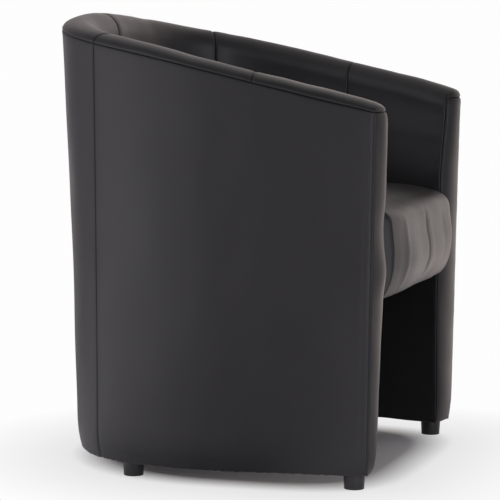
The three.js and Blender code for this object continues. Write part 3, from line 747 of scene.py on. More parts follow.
FIGURE = 55
ACROSS_GRAIN = (0.12, 1.0, 1.0)
FORWARD_GRAIN = (1.0, 0.12, 1.0)
UPRIGHT_GRAIN = (1.0, 1.0, 0.12)


def upright_timber_of(context):
    tint = context.scene.chair_colours.timber
    name = "upright_timber"
    return made_material(name, lambda: wood_material(name, tint, UPRIGHT_GRAIN, FIGURE))


# The pieces


THREAD_LIFT = 0.1
PANEL_STEP = 0.006
INNER_STEP = 0.005
SEAM_STEP = 0.0004
FOLD_STEP = 0.0009
FOLD_REACH = 0.003
OUTER_LENGTH = 0.7
INNER_LENGTH = 0.82
CORE_DEPTH = 0.03
CORE_LIFT = 0.02
# How far from a seam the leather is darkened with dust and painted shade, and dulled
MARK_REACH = 0.006
SEAM_DIP = 0.0006
SEAM_DIP_REACH = 0.014
GATHER_REACH = 0.012
RIM_GATHER_REACH = 0.014
LIFT_HEIGHT = 0.03
HEM_WAVE_HEIGHT = 0.05
HEM_WAVE_PITCH = 0.13
HEM_WAVE_HOLD = 0.02
STITCH_END = 0.006


def add_stitches(name, line, normals, sizes, material):
    """A row of stitches along a line on the leather, each sunk half into it."""
    deselect()
    bpy.ops.mesh.primitive_uv_sphere_add(segments=8, ring_count=6, radius=0.5)
    one = bpy.context.object
    deselect()
    shape = np.array([vertex.co for vertex in one.data.vertices])
    faces = [tuple(face.vertices) for face in one.data.polygons]
    bpy.data.objects.remove(one)
    steps = np.linalg.norm(np.diff(line, axis=0), axis=1)
    along = np.concatenate([[0], np.cumsum(steps)])
    count = int(along[-1] / sizes.stitch_pitch)
    centres = (np.arange(count) + 0.5) * (along[-1] / count)

    def at(values, places):
        return np.stack([np.interp(places, along, values[:, k]) for k in range(3)], axis=1)

    middle = at(line, centres)
    up = at(normals, centres)
    way = at(line, centres + sizes.stitch / 2) - at(line, centres - sizes.stitch / 2)
    way /= np.maximum(np.linalg.norm(way, axis=1, keepdims=True), NO_LENGTH)
    across = np.cross(up, way)
    points = (
        middle[:, None]
        + way[:, None] * shape[None, :, 2:] * sizes.stitch
        + across[:, None] * shape[None, :, :1] * sizes.thread
        + up[:, None] * (shape[None, :, 1:2] * sizes.thread + sizes.thread * THREAD_LIFT)
    )
    every = [tuple(v + k * len(shape) for v in face) for k in range(count) for face in faces]
    mesh = bpy.data.meshes.new(name)
    mesh.from_pydata(points.reshape(-1, 3).tolist(), [], every)
    piece = bpy.data.objects.new(name, mesh)
    bpy.context.collection.objects.link(piece)
    take(piece)
    bpy.ops.object.shade_smooth()
    return dress(piece, material, "cover")


def finish_cover(context, piece, node):
    """Gives a skin its thickness and its leather, as the cover that it stands for."""
    thicken(piece, context.scene.chair_sizes.leather)
    soften(piece)
    dress(piece, leather_of(context), "cover", node)


def panel_columns(wall, start, end, side):
    """Shares across a panel, and the distance of each from the panel's two side seams."""
    trim = wall.sizes.seam_gap / 2
    total = abs(end - start) * wall.length - 2 * trim
    places = march(total, PANEL_STEP, [(0, SEAM_STEP, 0), (total, SEAM_STEP, 0)])
    shares = (start + (trim + places) / wall.length * np.sign(end - start)) * side
    return shares, places, total - places


def front_line(points, normals, distance, at):
    """The line on a grid at one distance from its front seam."""

    def across(values):
        order = np.argsort(distance)
        rows = [
            [np.interp(at, distance[order], row[order, k]) for k in range(3)] for row in values
        ]
        return np.array(rows)

    return across(points), across(normals)


def hem_wave(wall, shares, height, seed, size):
    """How far the hem hangs off a straight line, fading out above it."""
    around = shares * wall.length
    low = 1 - smooth(0, HEM_WAVE_HEIGHT, height - wall.sizes.clearance)
    return size * wander(around, 0 * around, HEM_WAVE_PITCH, seed) * low


STITCH_LINE = 0.0075
STITCH_GROOVE = 0.0007
STITCH_RIDGE = 0.0006
STITCH_GROOVE_WIDTH = 0.0014
TURN_REACH = 0.003
ROLL_WIDTH = 0.009
ROLL_HOLD = 0.9
EVEN_REACH = 0.012

# Unevenness of the outer panels, each a depth and a pitch
STITCH_GATHERS = (0.0003, 0.010)
OUTER_BROAD = (0.0007, 0.17)
OUTER_FINE = (0.0003, 0.055)
OUTER_SIDE_GATHERS = (0.0004, 0.017)
OUTER_TOP_GATHERS = (0.0005, 0.019)
OUTER_HEM_GATHERS = (0.0006, 0.012)

OUTER_STRETCH = 0.2
OUTER_HEM_SPAN = (0.004, 0.03)
OUTER_HEM_WAVE = 0.0008
OUTER_HEM_LIFT = 0.0002
OUTER_FIRST_STITCH = 12
OUTER_LAST_STITCH = 6


def held_near(gap, width):
    """How firmly a seam holds the leather down at a distance from it."""
    near = np.clip(1 - gap / width, 0, 1)
    return 1 - np.sqrt(1 - near**2)


def drawn_in(points, normals, turned, held, rise, sizes):
    """Leather on its wadding, drawn in at its seams the way that each seam is turned."""
    held = held[..., None]
    turned = turned / np.linalg.norm(turned, axis=-1, keepdims=True)
    return points + normals * rise[..., None] * (1 - held) - turned * sizes.seam_sink * held


def stitched_in(from_edge, height, seed):
    """The groove that a row of topstitches pulls beside a seam, and the ridge ahead of it."""
    from_line = (from_edge - STITCH_LINE) / STITCH_GROOVE_WIDTH
    ridge = np.exp(-(((from_edge - STITCH_LINE / 2) / (STITCH_LINE / 3)) ** 2))
    gathers = ripple(STITCH_GATHERS, 0 * from_edge, height, seed) * np.exp(-from_edge / GATHER_REACH)
    return STITCH_RIDGE * ridge - STITCH_GROOVE * np.exp(-(from_line**2)) + gathers


def build_outer(context, name, start, end, side, node, stitched):
    """One outer panel, from its turned hem up to the seam under the rim."""
    sizes = context.scene.chair_sizes
    wall = Wall(sizes)
    shares, from_start, from_end = panel_columns(wall, start, end, side)
    stand = wall.stand(shares)
    path = wall.outer_path(stand)
    path[1][:, :] = np.minimum(path[1], stand["seam"][:, None] - sizes.seam_gap / 2)
    total = sizes.hem_turn + OUTER_LENGTH
    fold = sizes.hem_turn - sizes.hem_radius / 4
    targets = march(total, PANEL_STEP, [(fold, FOLD_STEP, FOLD_REACH), (total, SEAM_STEP, 0)])
    points, along, depth, height = sampled(wall, stand, path, targets)
    core = wall.place(stand, depth + CORE_DEPTH, np.maximum(height, sizes.clearance + CORE_LIFT))
    points, core = points.transpose(1, 0, 2), core.transpose(1, 0, 2)
    along, height = along.T, height.T
    normals = normals_of(points, core)
    around = (shares * wall.length)[None, :]
    side_gap = np.minimum(from_start, from_end)[None, :]
    top_gap = along[-1:] - along
    gap = np.minimum(side_gap, top_gap)
    even = smooth(0, EVEN_REACH, gap)
    rise = ripple(OUTER_BROAD, around, height, 3)
    rise += ripple(OUTER_FINE, around, height * OUTER_STRETCH, 4)
    rise += ripple(OUTER_SIDE_GATHERS, 0 * around, height, 5) * np.exp(-side_gap / GATHER_REACH)
    rise += ripple(OUTER_TOP_GATHERS, around, 0 * height, 6) * np.exp(-top_gap / GATHER_REACH)
    at_hem = 1 - smooth(*OUTER_HEM_SPAN, height - sizes.clearance)
    rise += ripple(OUTER_HEM_GATHERS, around, height, 9) * at_hem
    rise *= even
    rise += sizes.wadding * smooth(sizes.clearance, sizes.clearance + LIFT_HEIGHT, height)
    rise -= SEAM_DIP * np.exp(-gap / SEAM_DIP_REACH)
    turned = normals
    held = held_near(gap, sizes.seam_width)
    if stitched:
        rise += stitched_in(from_end[None, :], height, 7) * smooth(0, STITCH_END, top_gap)
        forward = forward_of(stand, -1)
        turned = normals + forward * np.exp(-from_end / TURN_REACH)[None, :, None]
        rolled = ROLL_HOLD * np.clip(1 - from_end / ROLL_WIDTH, 0, 1) ** 2
        held = np.maximum(held, rolled[None, :])
    points = drawn_in(points, normals, turned, held, rise, sizes)
    wave = hem_wave(wall, shares[None, :], height, 8, OUTER_HEM_WAVE)
    wave = wave * smooth(0, HEM_WAVE_HOLD, side_gap)
    points[:, :, 2] += np.maximum(wave, -OUTER_HEM_LIFT)
    piece = add_grid(name, points, normals, np.exp(-gap / MARK_REACH))
    finish_cover(context, piece, node)
    if stitched:
        line, up = front_line(points, normals, from_end, STITCH_LINE)
        shown = line[:, 2] > sizes.clearance + STITCH_END
        shown &= np.arange(len(line)) > OUTER_FIRST_STITCH
        shown &= np.arange(len(line)) < len(line) - OUTER_LAST_STITCH
        add_stitches(f"{name}_stitches", line[shown], up[shown], sizes, thread_of(context))
    return piece


class CHAIR_OT_outer_covers(bpy.types.Operator):
    """Add the outer back and side panels with their topstitched front edges"""

    bl_idname = "chair.outer_covers"
    bl_label = "Outer Covers"

    def execute(self, context):
        sizes = context.scene.chair_sizes
        seam = sizes.rear_seam
        build_outer(context, "outer_back_leather", -seam, seam, 1, "outer_back_cover", False)
        for side, sign in SIDES:
            name = f"outer_side_leather_{side}"
            node = f"outer_side_cover_{side}"
            build_outer(context, name, seam, 1.0, sign, node, True)
        return {"FINISHED"}


FACING_POWER = 2.2
FACING_SKEW = 1.15
FACING_HEM_POWER = 60
TOP_ROUNDING = 0.016
TOP_SHARE = 0.12
FULLNESS_LEVELS = (0.0, 0.25, 0.5, 0.75, 1.0)
FULLNESS = {"left": (0.28, 0.35, 0.47, 0.54, 0.52), "right": (0.42, 0.55, 0.68, 0.76, 0.75)}

# Where the right arm front is fuller or flatter beside the seat: level, reach, depth
PRESSED_SWELLS = ((0.356, 0.028, 0.0042), (0.434, 0.032, -0.0022))


def facing_span(wall, stand, height):
    """How wide the arm front is at each height."""
    straight = stand["rim"][0] - wall.sizes.inner_drop
    over = np.clip((height - straight) / (stand["crest"][0] - straight), 0, 1)
    arch = wall.sizes.rim_thickness / 2 * (1 + np.sqrt(1 - over**2))
    return np.where(height < straight, wall.thickness(stand, np.atleast_2d(height))[0], arch)


def front_points(wall, stand, depth, height):
    """Points over the flat of an arm front, from grids of depths and heights."""
    flat = wall.place(stand, depth.reshape(1, -1), height.reshape(1, -1))[0]
    return flat.reshape(*depth.shape, 3)


def facing_proud(wall, stand, across, height):
    """How far the padded arm front stands ahead of its seams."""
    sizes = wall.sizes
    seam = stand["seam"][0]
    up = np.clip((height - sizes.clearance) / (seam - sizes.clearance), 0, 1)
    near_top = np.clip(1 - (seam - height) / TOP_ROUNDING, 0, 1)
    side = "right" if stand["side"][0] < 0 else "left"
    full = sizes.front_pad * np.interp(up, FULLNESS_LEVELS, FULLNESS[side])
    if side == "right":
        for level, reach, depth in PRESSED_SWELLS:
            full = full + depth * np.exp(-(((height - level) / reach) ** 2))
    round_across = 1 - np.abs(2 * np.clip(across, 0, 1) ** FACING_SKEW - 1) ** FACING_POWER
    round_hem = np.sqrt(1 - (1 - up) ** FACING_HEM_POWER)
    return full * round_across * round_hem * (1 - TOP_SHARE * near_top**2)


def forward_of(stand, column=0):
    way = stand["way"][column]
    return np.array([way[0] * stand["side"][column], way[1], 0])


def facing_turns(stand, depth, span, slope):
    """The way that an arm front's leather is turned in: forwards, and sideways at its sides."""
    out = stand["outward"][0]
    outward = np.array([out[0] * stand["side"][0], out[1], 0])
    inward = np.stack([0 * slope - outward[0], 0 * slope - outward[1], -slope], axis=-1)
    inward /= np.linalg.norm(inward, axis=-1, keepdims=True)
    outer = np.exp(-depth / TURN_REACH)[..., None]
    inner = np.exp(-(span - depth) / TURN_REACH)[..., None]
    return forward_of(stand) + outward * outer + inward * inner


CAP_ROWS = 18
CAP_PITCH = 0.5
CAP_PINCH = 0.002
CAP_CORE_DROP = 0.01


def build_cap(wall, stand, edge, along, seam_at, depth, height):
    """The rim leather drawn over the front corner of an arm, down to the cross seam."""
    sizes = wall.sizes
    points, normals, rise = edge
    forward = forward_of(stand)
    seam = stand["seam"][0]
    share = np.linspace(0, 1, CAP_ROWS)[:, None]
    turn = share * math.pi / 2
    span = facing_span(wall, stand, np.array([seam]))[0]
    beside_seam = np.array([seam - NUDGE, seam + NUDGE])
    slope = np.diff(facing_span(wall, stand, beside_seam))[0] / (2 * NUDGE)
    deep = np.tile(depth, (CAP_ROWS, 1))
    ahead = facing_proud(wall, stand, depth / span, seam + 0 * depth)[None, :] * np.sin(turn)
    over = (height - seam)[None, :]
    pitched = CAP_PITCH * ahead * (1 - np.sin(turn)) * over / np.max(over)
    level = seam + over * np.cos(turn) - pitched
    base = front_points(wall, stand, deep, level)
    core = base - forward * CORE_DEPTH - np.array([0, 0, CAP_CORE_DROP])
    base = base + forward * ahead[:, :, None]
    from_ends = np.maximum(np.minimum(along, seam_at - along), 0)
    pinch = np.exp(-from_ends / CAP_PINCH)[None, :, None]
    out = mix(normals_of(base, core), normals[None, :, :], pinch)
    out /= np.linalg.norm(out, axis=2, keepdims=True)
    steps = np.linalg.norm(np.diff(base, axis=0), axis=2)
    from_seam = np.concatenate([np.cumsum(steps[::-1], axis=0)[::-1], 0 * steps[:1]])
    gap = np.minimum(from_seam, from_ends[None, :])
    loose = sizes.wadding - SEAM_DIP * np.exp(-gap / SEAM_DIP_REACH)
    loose = loose + (rise[None, :] - loose[:1]) * (1 - share) ** 2
    at_panel = normals[None, :, :] + forward * np.exp(-from_ends / TURN_REACH)[None, :, None]
    at_seam = facing_turns(stand, depth, span, slope + 0 * depth)[None, :, :]
    turned = mix(at_panel, at_seam, share[:, :, None])
    cap = drawn_in(base, out, turned, held_near(gap, sizes.seam_width), loose, sizes)
    cap[0] = points
    return cap, out, np.exp(-gap / MARK_REACH)


# Unevenness of the inner panels, each a depth and a pitch
INNER_BROAD = (0.0008, 0.15)
INNER_FINE = (0.0004, 0.06)
INNER_SIDE_GATHERS = (0.0004, 0.016)
INNER_RIM_GATHERS = (0.0007, 0.021)

INNER_STRETCH = 0.25
BESIDE_SEAT_SHARE = 0.4
BESIDE_SEAT_WADDING = 0.0004
OVER_SEAT_HEIGHT = 0.10
INNER_CORE = (0.028, 0.034)
INNER_CORE_DROP = 0.01
PLEAT_SPAN = (0.01, 0.05)
PLEAT_PITCH = 0.0052
PLEAT_DEPTH = 0.0005
PLEAT_REACH = 0.013
PLEAT_DRIFT = (0.6, 0.09)
SEWN_SPAN = (0.002, 0.010)
INNER_HEM_WAVE = 0.0016
INNER_HEM_LIFT = 0.0004
INNER_LAST_STITCH = 12


def build_inner(context, name, start, end, side, node, at_front):
    """One inner panel, from the outer seam over the rim and down to its turned hem."""
    sizes = context.scene.chair_sizes
    wall = Wall(sizes)
    shares, from_start, from_end = panel_columns(wall, start, end, side)
    stand = wall.stand(shares)
    path = wall.inner_path(stand)
    path[1][:, 0] += sizes.seam_gap / 2
    total = INNER_LENGTH
    fold = total - sizes.hem_turn + sizes.hem_radius / 4
    targets = march(total, INNER_STEP, [(0, SEAM_STEP, 0), (fold, FOLD_STEP, FOLD_REACH)])
    points, along, depth, height = sampled(wall, stand, path, targets)
    if at_front:
        front = [value[-1] for value in (along, height)]
        crest = int(np.argmax(front[1]))
        seam_at = np.interp(-stand["seam"][-1], -front[1][crest:], front[0][crest:])
        end_row = crest + int(np.argmin(np.abs(front[0][crest:] - seam_at)))
        targets[end_row] = seam_at * targets[-1] / front[0][-1]
        points, along, depth, height = sampled(wall, stand, path, targets)
    core_height = np.minimum(height, stand["seam"][:, None] - INNER_CORE_DROP)
    core = wall.place(stand, np.clip(depth, *INNER_CORE), core_height)
    points, core = points.transpose(1, 0, 2), core.transpose(1, 0, 2)
    along, height, depth = along.T, height.T, depth.T
    normals = normals_of(points, core)
    around = (shares * wall.length)[None, :]
    front_gap = from_end[None, :] + 0 * along
    if at_front:
        front_gap = np.hypot(front_gap, np.maximum(seam_at - along, 0))
    side_gap = np.minimum(from_start[None, :], front_gap)
    gap = np.minimum(side_gap, along)
    even = smooth(0, EVEN_REACH, gap)
    over_seat = smooth(sizes.seat_edge, sizes.seat_edge + OVER_SEAT_HEIGHT, height)
    rise = ripple(INNER_BROAD, around, height, 13)
    rise += ripple(INNER_FINE, around, height * INNER_STRETCH, 14)
    rise *= mix(BESIDE_SEAT_SHARE, 1, over_seat)
    rise += ripple(INNER_SIDE_GATHERS, 0 * around, height, 15) * np.exp(-side_gap / GATHER_REACH)
    rise += ripple(INNER_RIM_GATHERS, around, 0 * height, 16) * np.exp(-along / RIM_GATHER_REACH)
    if at_front:
        below = smooth(seam_at + PLEAT_SPAN[0], seam_at + PLEAT_SPAN[1], along)
        drift = ripple(PLEAT_DRIFT, 0 * around, height, 18)
        lines = np.sin(from_end[None, :] * math.tau / PLEAT_PITCH + drift * math.tau)
        rise += PLEAT_DEPTH * below * lines * np.exp(-from_end[None, :] / PLEAT_REACH)
    rise *= even
    rise += mix(BESIDE_SEAT_WADDING, sizes.wadding, over_seat)
    rise -= SEAM_DIP * np.exp(-gap / SEAM_DIP_REACH)
    turned = normals
    if at_front:
        sewn = smooth(*SEWN_SPAN, along - seam_at)
        rise += sewn * stitched_in(from_end[None, :], height, 17)
        forward = forward_of(stand, -1)
        from_corner = np.minimum(along, np.abs(seam_at - along))
        corner = np.maximum(along >= seam_at, np.exp(-from_corner / TURN_REACH))
        turned = normals + forward * (np.exp(-from_end / TURN_REACH)[None, :] * corner)[:, :, None]
    points = drawn_in(points, normals, turned, held_near(gap, sizes.seam_width), rise, sizes)
    wave = hem_wave(wall, shares[None, :], height, 18, INNER_HEM_WAVE)
    wave = wave * smooth(0, HEM_WAVE_HOLD, side_gap)
    points[:, :, 2] += np.maximum(wave, -INNER_HEM_LIFT)
    piece = add_grid(name, points, normals, np.exp(-gap / MARK_REACH))
    if at_front:
        arch = slice(0, end_row + 1)
        cap, out, cap_marks = build_cap(
            wall,
            {key: value[-1:] for key, value in stand.items()},
            (points[arch, -1], normals[arch, -1], rise[arch, -1]),
            along[arch, -1],
            seam_at,
            depth[arch, -1],
            height[arch, -1],
        )
        corner = add_grid(f"{name}_corner", cap, out, cap_marks)
        piece = weld([piece, corner], name)
    finish_cover(context, piece, node)
    if at_front:
        line, up = front_line(points, normals, from_end, STITCH_LINE)
        shown = along[:, -1] > seam_at + STITCH_END
        shown &= line[:, 2] > sizes.clearance + STITCH_END
        shown &= np.arange(len(line)) < len(line) - INNER_LAST_STITCH
        add_stitches(f"{name}_stitches", line[shown], up[shown], sizes, thread_of(context))
    return piece


class CHAIR_OT_inner_covers(bpy.types.Operator):
    """Add the six inner panels that wrap over the rim"""

    bl_idname = "chair.inner_covers"
    bl_label = "Inner Covers"

    def execute(self, context):
        sizes = context.scene.chair_sizes
        spans = (
            ("back", 0.0, sizes.rear_seam, False),
            ("quarter", sizes.rear_seam, sizes.arm_seam, False),
            ("arm", sizes.arm_seam, 1.0, True),
        )
        for side, sign in SIDES:
            for part, start, end, at_front in spans:
                name = f"inner_{part}_leather_{side}"
                node = f"inner_{part}_cover_{side}"
                build_inner(context, name, start, end, sign, node, at_front)
        return {"FINISHED"}


FACING_STEP = 0.0035
FACING_ROW_STEP = 0.005
FACING_HEM_ROWS = 10
FACING_HEM_END = 0.985
FACING_HEM_TURN = (0.014, 0.0015)
FACING_TURN_ROWS = 6
FACING_HEM_LIFT = 0.0018

# Unevenness of the arm fronts, each a depth and a pitch
FACING_BROAD = (0.0006, 0.11)
FACING_SIDE_GATHERS = (0.0006, 0.019)
FACING_TOP_GATHERS = (0.0007, 0.014)


def facing_grid(wall, stand):
    """Points over a padded arm front, rows from its hem up to the cross seam."""
    sizes = wall.sizes
    seam = stand["seam"][0] - sizes.seam_gap / 2
    tall = seam - sizes.clearance
    width = sizes.arm_thickness
    across = march(width, FACING_STEP, [(0, SEAM_STEP, 0), (width, SEAM_STEP, 0)]) / width
    rounding = np.linspace(0, FACING_HEM_END, FACING_HEM_ROWS)
    low = sizes.clearance + tall * (1 - (1 - rounding**2) ** (1 / FACING_HEM_POWER))
    left_over = seam - low[-1]
    rest = low[-1] + march(left_over, FACING_ROW_STEP, [(left_over, SEAM_STEP, 0)])[1:]
    height = np.concatenate([low, rest])
    levels = height[:, None] + 0 * across[None, :]
    span = facing_span(wall, stand, height)
    depth = across[None, :] * span[:, None]
    proud = facing_proud(wall, stand, across[None, :] + 0 * depth, levels)
    flat = front_points(wall, stand, depth, levels)
    points = flat + forward_of(stand) * proud[:, :, None]
    return points, flat, span, height, depth


def build_facing(context, side, sign):
    """A padded arm front from its turned hem to the cross seam at the top corner."""
    sizes = context.scene.chair_sizes
    wall = Wall(sizes)
    stand = wall.stand([sign * NEARLY_FRONT])
    points, flat, span, height, depth = facing_grid(wall, stand)
    forward = forward_of(stand)
    normals = normals_of(points, flat - forward * CORE_DEPTH)
    from_sides = np.minimum(depth, span[:, None] - depth)
    from_top = (stand["seam"][0] - height)[:, None]
    gap = np.minimum(from_sides, from_top)
    even = smooth(0, EVEN_REACH, gap)
    tall = height[:, None]
    rise = ripple(FACING_BROAD, depth * sign, tall, 23)
    at_sides = np.exp(-from_sides / GATHER_REACH)
    rise += ripple(FACING_SIDE_GATHERS, 0 * depth + sign, tall, 24) * at_sides
    at_top = np.exp(-from_top / RIM_GATHER_REACH)
    rise += ripple(FACING_TOP_GATHERS, depth, 0 * depth + sign, 25) * at_top
    rise *= even
    rise += sizes.wadding * smooth(sizes.clearance, sizes.clearance + LIFT_HEIGHT, tall)
    slope = np.gradient(span, height)[:, None] + 0 * depth
    turned = facing_turns(stand, depth, span[:, None], slope)
    points = drawn_in(points, normals, turned, held_near(gap, sizes.seam_width), rise, sizes)
    marks = np.exp(-gap / MARK_REACH)
    turn = np.linspace(*FACING_HEM_TURN, FACING_TURN_ROWS)
    under = flat[:1] - forward * turn[:, None, None]
    under[:, :, 2] = sizes.clearance + FACING_HEM_LIFT
    points = np.concatenate([under, points], axis=0)
    normals = np.concatenate([np.repeat(normals[:1], len(under), axis=0), normals], axis=0)
    marks = np.concatenate([np.repeat(marks[:1], len(under), axis=0), marks], axis=0)
    piece = add_grid(f"arm_front_leather_{side}", points, normals, marks)
    finish_cover(context, piece, f"arm_front_cover_{side}")
    return piece


class CHAIR_OT_arm_fronts(bpy.types.Operator):
    """Add the padded facings on the arm fronts"""

    bl_idname = "chair.arm_fronts"
    bl_label = "Arm Fronts"

    def execute(self, context):
        for side, sign in SIDES:
            build_facing(context, side, sign)
        return {"FINISHED"}


# The seat


FRONT_ROWS = (0.0, 0.08, 0.2, 0.34, 0.55, 1.0)
FRONT_RECESS = (1.0, 0.62, 0.26, 0.07, 0.0, 0.30)
MIDDLE_SHARE = 0.08
CROWN_POWER = 3.4
LOW_CORNER = 0.5
BOW_POWER = 5
BOW_START = 0.060
DROOP = 0.003
RIGHT_DROOP = 2.4
DROOP_HEIGHT = 0.035
BROW_REACH = 0.062
CORNER_FALL = 0.06
LEAST_RADIUS = 0.002
FILL_START = 0.05
DROOP_SPAN = (0, 0.5)
SEAT_STEP = 0.006
SEAT_NUDGE = 0.01
EXTRA_TURNS = 6
CENTRE_SHARE = 0.02


class Seat:
    """The seat's outline, which follows the wall and rounds into the front apron."""

    SIDE_STEPS = 110
    CORNER_STEPS = 14
    FRONT_STEPS = 46
    SIDE_GAP = 0.0016

    def __init__(self, sizes):
        self.sizes = sizes
        self.wall = Wall(sizes)
        corner = 1 - sizes.corner_setback / self.wall.length
        shares = [*np.linspace(0, corner, self.SIDE_STEPS), corner + SEAT_NUDGE]
        self.stand = self.wall.stand(shares)
        self.middle = np.array([0, -MIDDLE_SHARE * sizes.depth])

    def beside(self, inset, height):
        high = np.full((len(self.stand["share"]), 1), height)
        depth = self.wall.thickness(self.stand, high) + self.SIDE_GAP + inset
        return self.wall.place(self.stand, depth, high)[:, 0, :2]

    def recess(self, height):
        s = self.sizes
        levels = [mix(s.seat_bottom, s.seat_edge, row) for row in FRONT_ROWS]
        return s.undercut * np.interp(height, levels, FRONT_RECESS)

    def ring(self, side_inset, front_inset, height):
        """One closed ring at a height, from the centre back by the left side and the front."""
        s = self.sizes
        line = self.beside(side_inset, height)
        half, corner, past = line[:-1], line[-2], line[-1]
        along = past - corner
        front = -s.depth / 2 + s.front_setback + self.recess(height)
        up = smooth(s.seat_bottom, s.seat_edge - CORNER_FALL, height)
        bow = smooth(s.seat_bottom - BOW_START, s.seat_bottom + BOW_START, height) * s.seat_bow
        deep = corner[1] - front - bow - front_inset
        drift = along[0] * deep / -along[1]
        radius = max(s.seat_corner * mix(LOW_CORNER, 1, up) - side_inset, LEAST_RADIUS)
        turn = np.linspace(0, math.pi / 2, self.CORNER_STEPS + 1)[1:]
        x = corner[0] - radius * (1 - np.cos(turn)) + drift * np.sin(turn)
        y = corner[1] - deep * np.sin(turn)
        bend = np.stack([x, y], axis=1)
        across = 1 - np.linspace(0, 1, self.FRONT_STEPS + 1)[1:]
        x = (corner[0] - radius + drift) * across
        y = front + bow * across**BOW_POWER + front_inset
        left = np.concatenate([half, bend, np.stack([x, y], axis=1)])
        left[0, 0] = 0
        right = left[:-1][::-1] * [-1, 1]
        ring = np.concatenate([left, right])
        return np.concatenate([ring, np.full((len(ring), 1), height)], axis=1)

    def skin(self, offset, lowest, step=SEAT_STEP):
        """Rings from the middle of the crown to a lowest level, offset inwards."""
        s = self.sizes
        edge = self.ring(s.seat_side_radius, s.seat_front_radius, s.seat_edge - offset)
        reach = s.width / 2 - s.arm_thickness
        count = int(reach / step)
        rings = []
        for k in range(count):
            share = max(k, CENTRE_SHARE) / count
            ring = edge.copy()
            ring[:, :2] = mix(self.middle, edge[:, :2], share)
            ring[:, 2] += s.seat_crown * (1 - share**CROWN_POWER)
            rings.append(ring)
        turns = int(s.seat_side_radius * math.pi / 2 / step) + EXTRA_TURNS
        for k in range(turns + 1):
            turn = k / turns * math.pi / 2
            side = s.seat_side_radius - (s.seat_side_radius - offset) * math.sin(turn)
            front = s.seat_front_radius - (s.seat_front_radius - offset) * math.sin(turn)
            drop = s.seat_side_radius - (s.seat_side_radius - offset) * math.cos(turn)
            rings.append(self.ring(side, front, s.seat_edge - drop))
        top = s.seat_edge - s.seat_side_radius
        levels = np.linspace(top, lowest, int((top - lowest) / step) + 1)[1:]
        rings += [self.ring(offset, offset, height) for height in levels]
        return self.filled(np.array(rings))

    def filled(self, points):
        """The top lifted by its filling and rounded down in front, and the apron let down below."""
        s = self.sizes
        high = smooth(s.seat_bottom + FILL_START, s.seat_edge, points[..., 2])
        ahead = np.clip((-points[..., 1] - s.depth / 2 + BROW_REACH) / BROW_REACH, 0, 1)
        low = 1 - smooth(s.seat_bottom, s.seat_bottom + DROOP_HEIGHT, points[..., 2])
        lifted = points.copy()
        lifted[..., 2] += high * (s.seat_fill - s.seat_brow * ahead**3)
        lower = mix(1, RIGHT_DROOP, np.clip(-points[..., 0] / (s.front_width / 2), 0, 1))
        lifted[..., 2] -= DROOP * low * smooth(*DROOP_SPAN, ahead) * lower
        return lifted


def add_rings(name, rings, closed_below):
    """A skin through closed rings, its first ring drawn together at the middle."""
    middle = rings[0].mean(axis=0)
    rings = np.concatenate([np.broadcast_to(middle, rings[:1].shape), rings])
    if closed_below:
        last = rings[-1].mean(axis=0)
        rings = np.concatenate([rings, np.broadcast_to(last, rings[:1].shape)])
    grid = np.concatenate([rings, rings[:, :1]], axis=1)
    core = np.broadcast_to(grid.mean(axis=(0, 1)), grid.shape)
    piece = add_grid(name, grid, normals_of(grid, core))
    return weld([piece], name)


def add_tube(name, loops):
    """A solid through closed loops, its two ends closed flat."""
    grid = np.concatenate([loops, loops[:, :1]], axis=1)
    core = np.broadcast_to(grid.mean(axis=1, keepdims=True), grid.shape)
    piece = add_grid(name, grid, normals_of(grid, core))
    weld([piece], name)
    edit(piece, lambda: bpy.ops.mesh.fill_holes(sides=0))
    edit(piece, lambda: bpy.ops.mesh.normals_make_consistent(inside=False))
    return piece


def vertices_of(piece):
    points = np.zeros(len(piece.data.vertices) * 3)
    piece.data.vertices.foreach_get("co", points)
    return points.reshape(-1, 3)


def normals_at(piece):
    normals = np.zeros(len(piece.data.vertices) * 3)
    piece.data.vertices.foreach_get("normal", normals)
    return normals.reshape(-1, 3)


def reshape(piece, points):
    piece.data.vertices.foreach_set("co", points.reshape(-1).astype(np.float32))
    piece.data.update()


CREASE_END = 0.03
CREASE_LEAN = 0.04


def crease(across, along, place, width, low, high, lean=0.0):
    """How strongly a fold is felt, from 0 to 1, beside a line that runs up the leather."""
    here = across - place - lean * (along - low)
    ends = smooth(low, low + CREASE_END, along) * (1 - smooth(high - CREASE_END, high, along))
    return np.exp(-((here / width) ** 2)) * ends


# Folds down the seat's front: place across, width, depth, lowest and highest level
FRONT_FOLDS = (
    (-0.018, 0.0042, -0.0023, 0.318, 0.450),
    (0.004, 0.0130, 0.0010, 0.320, 0.450),
    (-0.157, 0.0080, 0.0010, 0.312, 0.450),
    (-0.178, 0.0120, -0.0005, 0.312, 0.446),
    (0.105, 0.0150, -0.0006, 0.316, 0.440),
    (0.170, 0.0200, 0.0007, 0.316, 0.444),
)

# Unevenness of the seat, each a depth and a pitch
APRON_RIPPLE = (0.0005, 0.09)
TOP_BROAD = (0.0008, 0.19)
TOP_FINE = (0.0002, 0.05)
ALL_OVER = (0.0003, 0.07)
SEAT_HEM_GATHERS = (0.0006, 0.03)

SEAT_HEM_HEIGHT = 0.035
APRON_FACING = (0.2, 0.8)
TOP_FACING = (0.5, 0.95)
APRON_STRETCH = 0.3
TOP_STRETCH = 0.5
SEAT_HEM_STRETCH = 0.2


